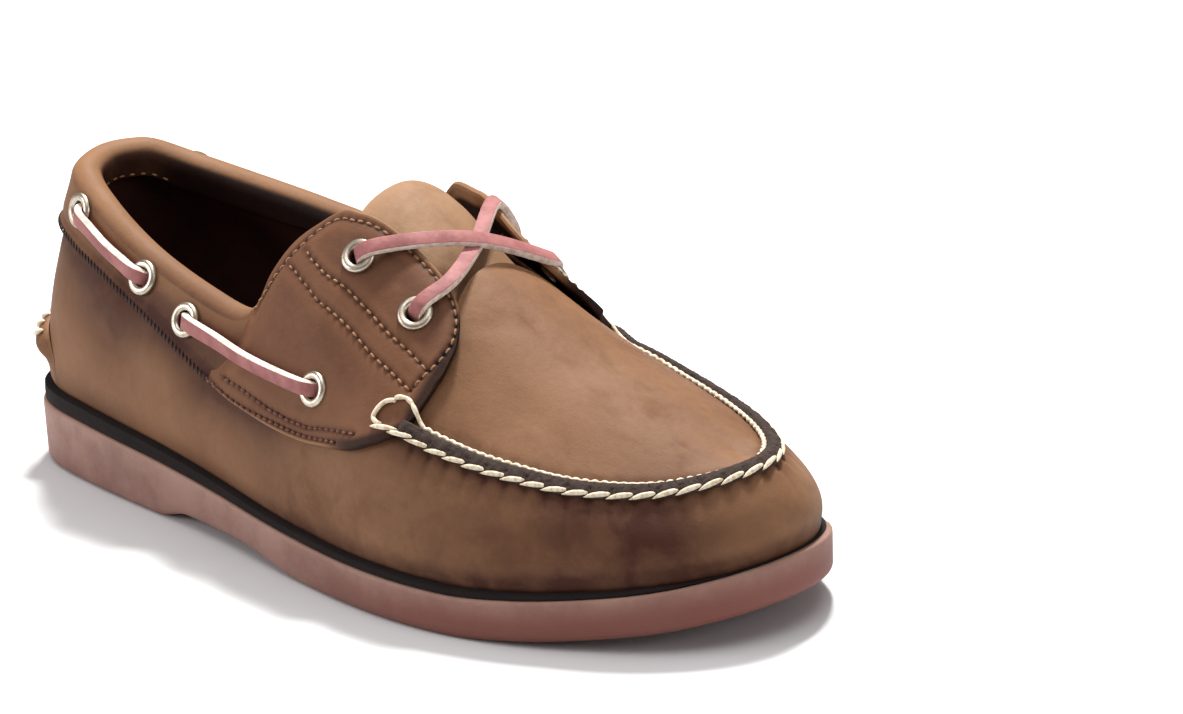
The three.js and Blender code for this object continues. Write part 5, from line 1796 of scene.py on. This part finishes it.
def build_heel_tab():
    columns = np.linspace(-HEEL_TAB_REACH, HEEL_TAB_REACH, 121)
    station, share = np.meshgrid(columns, np.linspace(0.04, 1, 41), indexing="ij")
    height = heel_tab_top(station) * share
    beak = beak_share(station)
    out = 0.08 + heel_beak(share) * beak
    outer = offset_point(station, height, out)
    inner = offset_point(station, height, out - np.minimum(HEEL_TAB_THICKNESS, out - 0.04))
    tones = {
        "dark": 0.5 * smooth(share, 0.75, 1) * beak,
        "edge": 0.7 * smooth(share, 0.9, 1) * beak,
        "light": 0.25,
    }
    return thick_sheet(
        "heel_tab_leather", outer, inner, [LEATHER], tones=tones, slot="upper_leather", replaces=["heel_tab"]
    )


def build_heel_stitches():
    def surface(shares):
        at = mix(-HEEL_STITCH_REACH, HEEL_STITCH_REACH, shares)
        top = heel_tab_top(at)
        facing = unit(0.75 * last_normal(at, top) + 0.65 * UP)
        least, beak = HEEL_STITCH_OUT
        return offset_point(at, HEEL_STITCH_PLACE * top, least + beak * beak_share(at)), facing

    route = Route(surface, 200)
    beads(
        "heel_tab_stitches", route.frame(route.stops(HEEL_STITCH_PITCH)), HEEL_STITCH, WHITE_THREAD,
        "edge_leather", lift=0.1, slant=HEEL_STITCH_SLANT, bend=0.6, taper=0.75, rings=11, around=10,
    )


# Eyelets
EYELET_BORE = 2.85
FLANGE_SPREAD = 1.07
FLANGE_LIP = 0.15
FLANGE_BACK = 0.4


def in_frame(frame_at, local):
    """Points given across, across and out of an eyelet's own frame."""
    seat, facing, _ = frame_at
    first = unit(np.cross(facing, UP + 0.01))
    axes = (first, np.cross(facing, first), facing)
    return seat + sum(spread(local[..., i], axis) for i, axis in enumerate(axes))


def build_eyelet(name, side):
    """Ring of one eyelet, turned round its own axis: bore, rolled lip, flange and tube."""
    frame_at = eyelet_frames[name, side]
    flange, tube = FLANGE_SPREAD * EYELET_FLANGE / 2, EYELET_HOLE / 2 + EYELET_TUBE
    depth = frame_at[2] + 0.5
    middle, half = (EYELET_BORE + flange) / 2, (flange - EYELET_BORE) / 2
    arc = np.linspace(0, math.pi, 13)[1:-1]
    swell = (EYELET_RIM + FLANGE_LIP) * np.sin(arc) ** 0.8 - FLANGE_LIP
    crown = zip(middle - half * np.cos(arc), swell)
    profile = np.array([
        (EYELET_BORE, -depth), (EYELET_BORE, -FLANGE_LIP), *crown, (flange, -FLANGE_LIP),
        (flange - FLANGE_BACK, -FLANGE_BACK), (tube, -FLANGE_BACK), (tube, -depth),
    ])
    angle = np.linspace(0, 2 * math.pi, 48, endpoint=False)[:, None]
    radius, rise = profile.T
    local = np.stack(np.broadcast_arrays(np.cos(angle) * radius, np.sin(angle) * radius, rise), -1)
    index = np.arange(radius.size * angle.size).reshape(angle.size, radius.size)
    ahead = np.roll(index, -1, 0)
    quads = np.stack([index, ahead, np.roll(ahead, -1, 1), np.roll(index, -1, 1)], -1).reshape(-1, 4)
    points = in_frame(frame_at, local).reshape(-1, 3)
    node = f"eyelet_{side}_{name}"
    return make_mesh(
        f"{node}_ring", points, [quads], [NICKEL], slot="eyelet_metal", replaces=[node], sharp=50
    )


# Laces: flat leather through the eyelets, with cut corners; their faces lean in the middle of a run
LACE_NICK = 0.1
LACE_ROUND = 0.35
LACE_BROAD = 4.6
LACE_STOUT = 2.5
SIDE_LEAN = (0.0, 0.0, -0.5)
FRONT_LEAN = (0.05, -0.05, 0.0)


def lace_mesh(points, across, name, replaces=()):
    """Flat lace along dense points; its narrow sides are raw."""
    run = unit(np.gradient(points, axis=0))
    wide = unit(across - spread(np.sum(across * run, -1), run))
    out = np.cross(run, wide)
    w, t, r, nick = LACE_BROAD / 2, LACE_STOUT / 2, LACE_ROUND, LACE_NICK
    half = [
        (-w + r, -t), (0, -t), (w - r, -t), (w - nick, -t + nick),
        (w, -t + r), (w, 0), (w, t - r), (w - nick, t - nick),
    ]
    section = np.array(half + [(-x, -y) for x, y in half])
    is_raw = [0, 0, 0, 1, 1, 1, 1, 0] * 2
    body = points[:, None] + spread(section[:, 0], wide[:, None]) + spread(section[:, 1], out[:, None])
    kinds = np.append(np.tile(is_raw, len(points) - 1), [1, 1])
    return make_mesh(
        name, body.reshape(-1, 3), ring_faces(len(points), len(section)), [LACE_FACE, LACE_EDGE],
        slot="lace_leather", replaces=replaces, face_material=kinds, sharp=50,
    )


def smooth_path(places, count):
    """Even points along a curve through places, by centripetal spans."""
    places = np.asarray(places, float)
    spans = np.linalg.norm(np.diff(places, axis=0), axis=1) ** 0.5
    at = np.concatenate([[0], np.cumsum(spans)])
    slopes = np.gradient(places, at, axis=0)
    t = np.linspace(0, at[-1], count)
    i = np.clip(np.searchsorted(at, t) - 1, 0, len(at) - 2)
    span = (at[i + 1] - at[i])[:, None]
    share = (t - at[i])[:, None] / span
    return hermite(places[i], places[i + 1], span * slopes[i], span * slopes[i + 1], share)


def lace_end(frame_at, towards, close):
    """Places of a lace's end: in the eyelet, over its rim, and away; a close one is pulled in."""
    seat, face, depth = frame_at
    flat = unit(towards - face * (towards @ face))
    over = (EYELET_RIM + LACE_STOUT / 2 * 0.8) * (0.6 if close else 1)
    return [
        seat - (depth + 0.6) * face - 0.3 * flat,
        seat - 0.8 * face - 0.1 * flat,
        seat + 0.5 * over * face + 1.1 * flat,
        seat + over * face + 3.6 * flat,
    ]


def lace_between(first, second, middles, name, replaces, lean, close=False, count=140):
    """Lace out of one eyelet, through places in between, and into another; its face leans the given way."""
    middles = np.asarray(middles, float).reshape(-1, 3)
    towards_a = unit(middles[0] - first[0])
    towards_b = unit(middles[-1] - second[0])
    start, finish = lace_end(first, towards_a, False), lace_end(second, towards_b, close)
    points = smooth_path([*start, *middles, *finish[::-1]], count)
    share = np.linspace(0, 1, count)[:, None]
    run = unit(np.gradient(points, axis=0))
    wide_a = unit(np.cross(first[1], towards_a))
    wide_b = unit(np.cross(second[1], -towards_b))
    wide = unit(wide_a * (1 - share) + wide_b * share)
    wide = unit(wide - run * np.sum(wide * run, -1, keepdims=True))
    out = np.cross(run, wide) + np.array(lean) * np.sin(np.pi * share) ** 0.6
    return lace_mesh(points, np.cross(out, run), name, replaces)


SAG = 6.4
LACE_CLEARANCE = 0.5
LACE_STANDS = 0.6


def side_lace(side, names, thickness, node):
    """Lace between two eyelets of one side, sagging a little and clear of the leather below."""
    first, second = (eyelet_frames[name, side] for name in names)
    (section_a, height_a), (section_b, height_b) = (EYELETS[name][1][side] for name in names)
    least = OVERLAY_SEAT + thickness + LACE_STOUT / 2 + LACE_CLEARANCE
    places = []
    for share in (0.25, 0.5, 0.75):
        straight = mix(first[0], second[0], share) - SAG * share * (1 - share) * UP
        station = on_side(mix(section_a, section_b, share), side)
        height = mix(height_a, height_b, share)
        normal = last_normal(station, height)
        stands = (straight - last_point(station, height)) @ normal
        places.append(straight + max(least - stands, LACE_STANDS) * normal)
    lace_between(first, second, places, f"{node}_strap", [node], SIDE_LEAN)


CROSSING_SECTION = 6.95
CROSSING_LIFT = 1.9
CROSSING_CLEARANCE = 0.2
MEDIAL_CLOSER = 0.75


def front_laces():
    """The two crossing laces: each runs over both flaps' upper edges, at places along their length."""
    laces = (
        ("flap_front", "flap_rear", 0.7, 0.53, "lace_under_strap", ["lace_crossing"]),
        ("flap_rear", "flap_front", 0.58, 0.71, "lace_over_strap", []),
    )
    over = FLAP_THICKNESS + LACE_STOUT / 2 + CROSSING_CLEARANCE
    for layer, (start, finish, near, far, name, nodes) in enumerate(laces):
        middle = offset_point(CROSSING_SECTION, 2, CROSSING_LIFT + LACE_STOUT * layer)
        over_lateral = flap_point(near, 1.0, "lateral", over)
        over_medial = flap_point(far, 1.0, "medial", MEDIAL_CLOSER * over)
        ends = eyelet_frames[start, "lateral"], eyelet_frames[finish, "medial"]
        middles = [over_lateral, middle, over_medial]
        lace_between(*ends, middles, name, nodes, FRONT_LEAN, close=True, count=180)


# Threads of the collar band: gathers along its lower edge, and the row inside the heel
GATHERS = [(0.25, 1.028), (1.0, 1.028), (2.0, 1.028), (3.0, 1.028), (3.8, 1.03)]
GATHER = (2.6, 0.6, 0.6)
GATHER_PITCH = 1.9
GATHER_SLANT = {"lateral": -55, "medial": 55}
GATHER_LIFT = 0.35
INSIDE_STITCH = (2.3, 0.8, 0.7)
INSIDE_PITCH = 3.4


def gather_line(station, height):
    out = BAND_FACE + BAND_THICKNESS + GATHER_LIFT
    return offset_point(station, height, out), last_normal(station, height)


def build_band_threads():
    for side in SIDES:
        places = [(on_side(section, side), height) for section, height in GATHERS]
        route = route_through(places, gather_line, 400)
        frames = route.frame(route.stops(GATHER_PITCH))
        name = f"collar_band_{side}_gathers"
        beads(name, frames, GATHER, GATHER_THREAD, "upper_leather", slant=GATHER_SLANT[side], bend=0.3)

    def inside(shares):
        station = np.mod(mix(AROUND - 1.6, AROUND + 1.6, shares), AROUND)
        height = roll_start(station) - 0.75 * BAND_INSIDE / length_above(station)
        depth = -2 * roll_radius(station) - BAND_FACE - BAND_THICKNESS
        return offset_point(station, height, depth), -last_normal(station, height)

    route = Route(inside, 400)
    frames = route.frame(route.stops(INSIDE_PITCH))
    beads("collar_band_inside_stitches", frames, INSIDE_STITCH, TAN_THREAD, "upper_leather", bend=0.25)


build_outsole()
build_midsole()
build_insole()
build_upper()
build_lining()
build_plug_lining()
build_band()
build_tongue()
for flap_side in SIDES:
    build_flap(flap_side)
    build_flap_threads(flap_side)
build_seam()
build_seam_threads()
build_inner_thread()
build_heel_tab()
build_heel_stitches()
build_band_threads()
for eyelet_name, eyelet_side in eyelet_frames:
    build_eyelet(eyelet_name, eyelet_side)
for lace_side in SIDES:
    side_lace(lace_side, ("heel", "side"), BAND_THICKNESS, f"lace_{lace_side}_rear")
    side_lace(lace_side, ("waist", "flap_low"), FLAP_THICKNESS, f"lace_{lace_side}_front")
front_laces()


# Stage
def build_floor():
    bpy.ops.mesh.primitive_plane_add(size=12, location=(0, 0, 0))
    floor = bpy.context.object
    floor.name = "studio_floor"
    n = Nodes("white_floor")
    n.set(Base_Color=(0.6, 0.6, 0.6, 1), Roughness=0.9, Specular_IOR_Level=0.1)
    floor.data.materials.append(n.material)


def area_light(name, place, target, size, power, colour=(1, 1, 1)):
    data = bpy.data.lights.new(name, "AREA")
    data.shape = "RECTANGLE"
    data.size, data.size_y = size
    data.energy = power
    data.color = colour
    light = bpy.data.objects.new(name, data)
    light.location = place
    back = unit(np.array(place, float) - np.array(target, float))
    side = unit(np.cross(UP, back)) if abs(back[2]) < 0.999 else np.array([1.0, 0, 0])
    axes = np.stack([side, np.cross(back, side), back], 1)
    light.rotation_mode = "QUATERNION"
    light.rotation_quaternion = Matrix(axes.tolist()).to_quaternion()
    bpy.context.scene.collection.objects.link(light)


MIDDLE = (0.02, 0, 0.04)


def build_studio():
    build_floor()
    world = bpy.data.worlds.new("studio_world")
    world.use_nodes = True
    world.node_tree.nodes["Background"].inputs["Color"].default_value = (1, 0.94, 0.97, 1)
    world.node_tree.nodes["Background"].inputs["Strength"].default_value = 0.3
    bpy.context.scene.world = world
    area_light("key", (-0.6, 0.98, 2.3), MIDDLE, (0.35, 0.35), 125)
    area_light("overhead", (0.1, -0.1, 1.8), MIDDLE, (2.0, 2.0), 24)
    area_light("left_fill", (-1.4, -1.4, 0.7), MIDDLE, (1.0, 1.0), 22, (1, 0.94, 0.97))
    area_light("right_fill", (1.8, 0.1, 0.7), MIDDLE, (0.8, 0.8), 7, (1, 0.96, 0.96))
    bpy.context.scene.view_settings.view_transform = "Standard"


CAMERA_PLACE = (1.78158, -1.73763, 0.96229)
CAMERA_RIGHT = (0.727082, 0.684492, -0.053122)
CAMERA_UP = (-0.199157, 0.284330, 0.937813)
CAMERA_BACK = (0.657029, -0.671288, 0.343053)
CAMERA_LENS = 266.2


def build_camera():
    data = bpy.data.cameras.new("studio_camera")
    data.lens = CAMERA_LENS
    data.sensor_width = 36.0
    data.clip_start, data.clip_end = 0.1, 50
    camera = bpy.data.objects.new("studio_camera", data)
    camera.location = CAMERA_PLACE
    camera.rotation_mode = "QUATERNION"
    axes = np.stack([CAMERA_RIGHT, CAMERA_UP, CAMERA_BACK], 1)
    camera.rotation_quaternion = Matrix(axes.tolist()).to_quaternion()
    bpy.context.scene.collection.objects.link(camera)
    bpy.context.scene.camera = camera


build_studio()
build_camera()
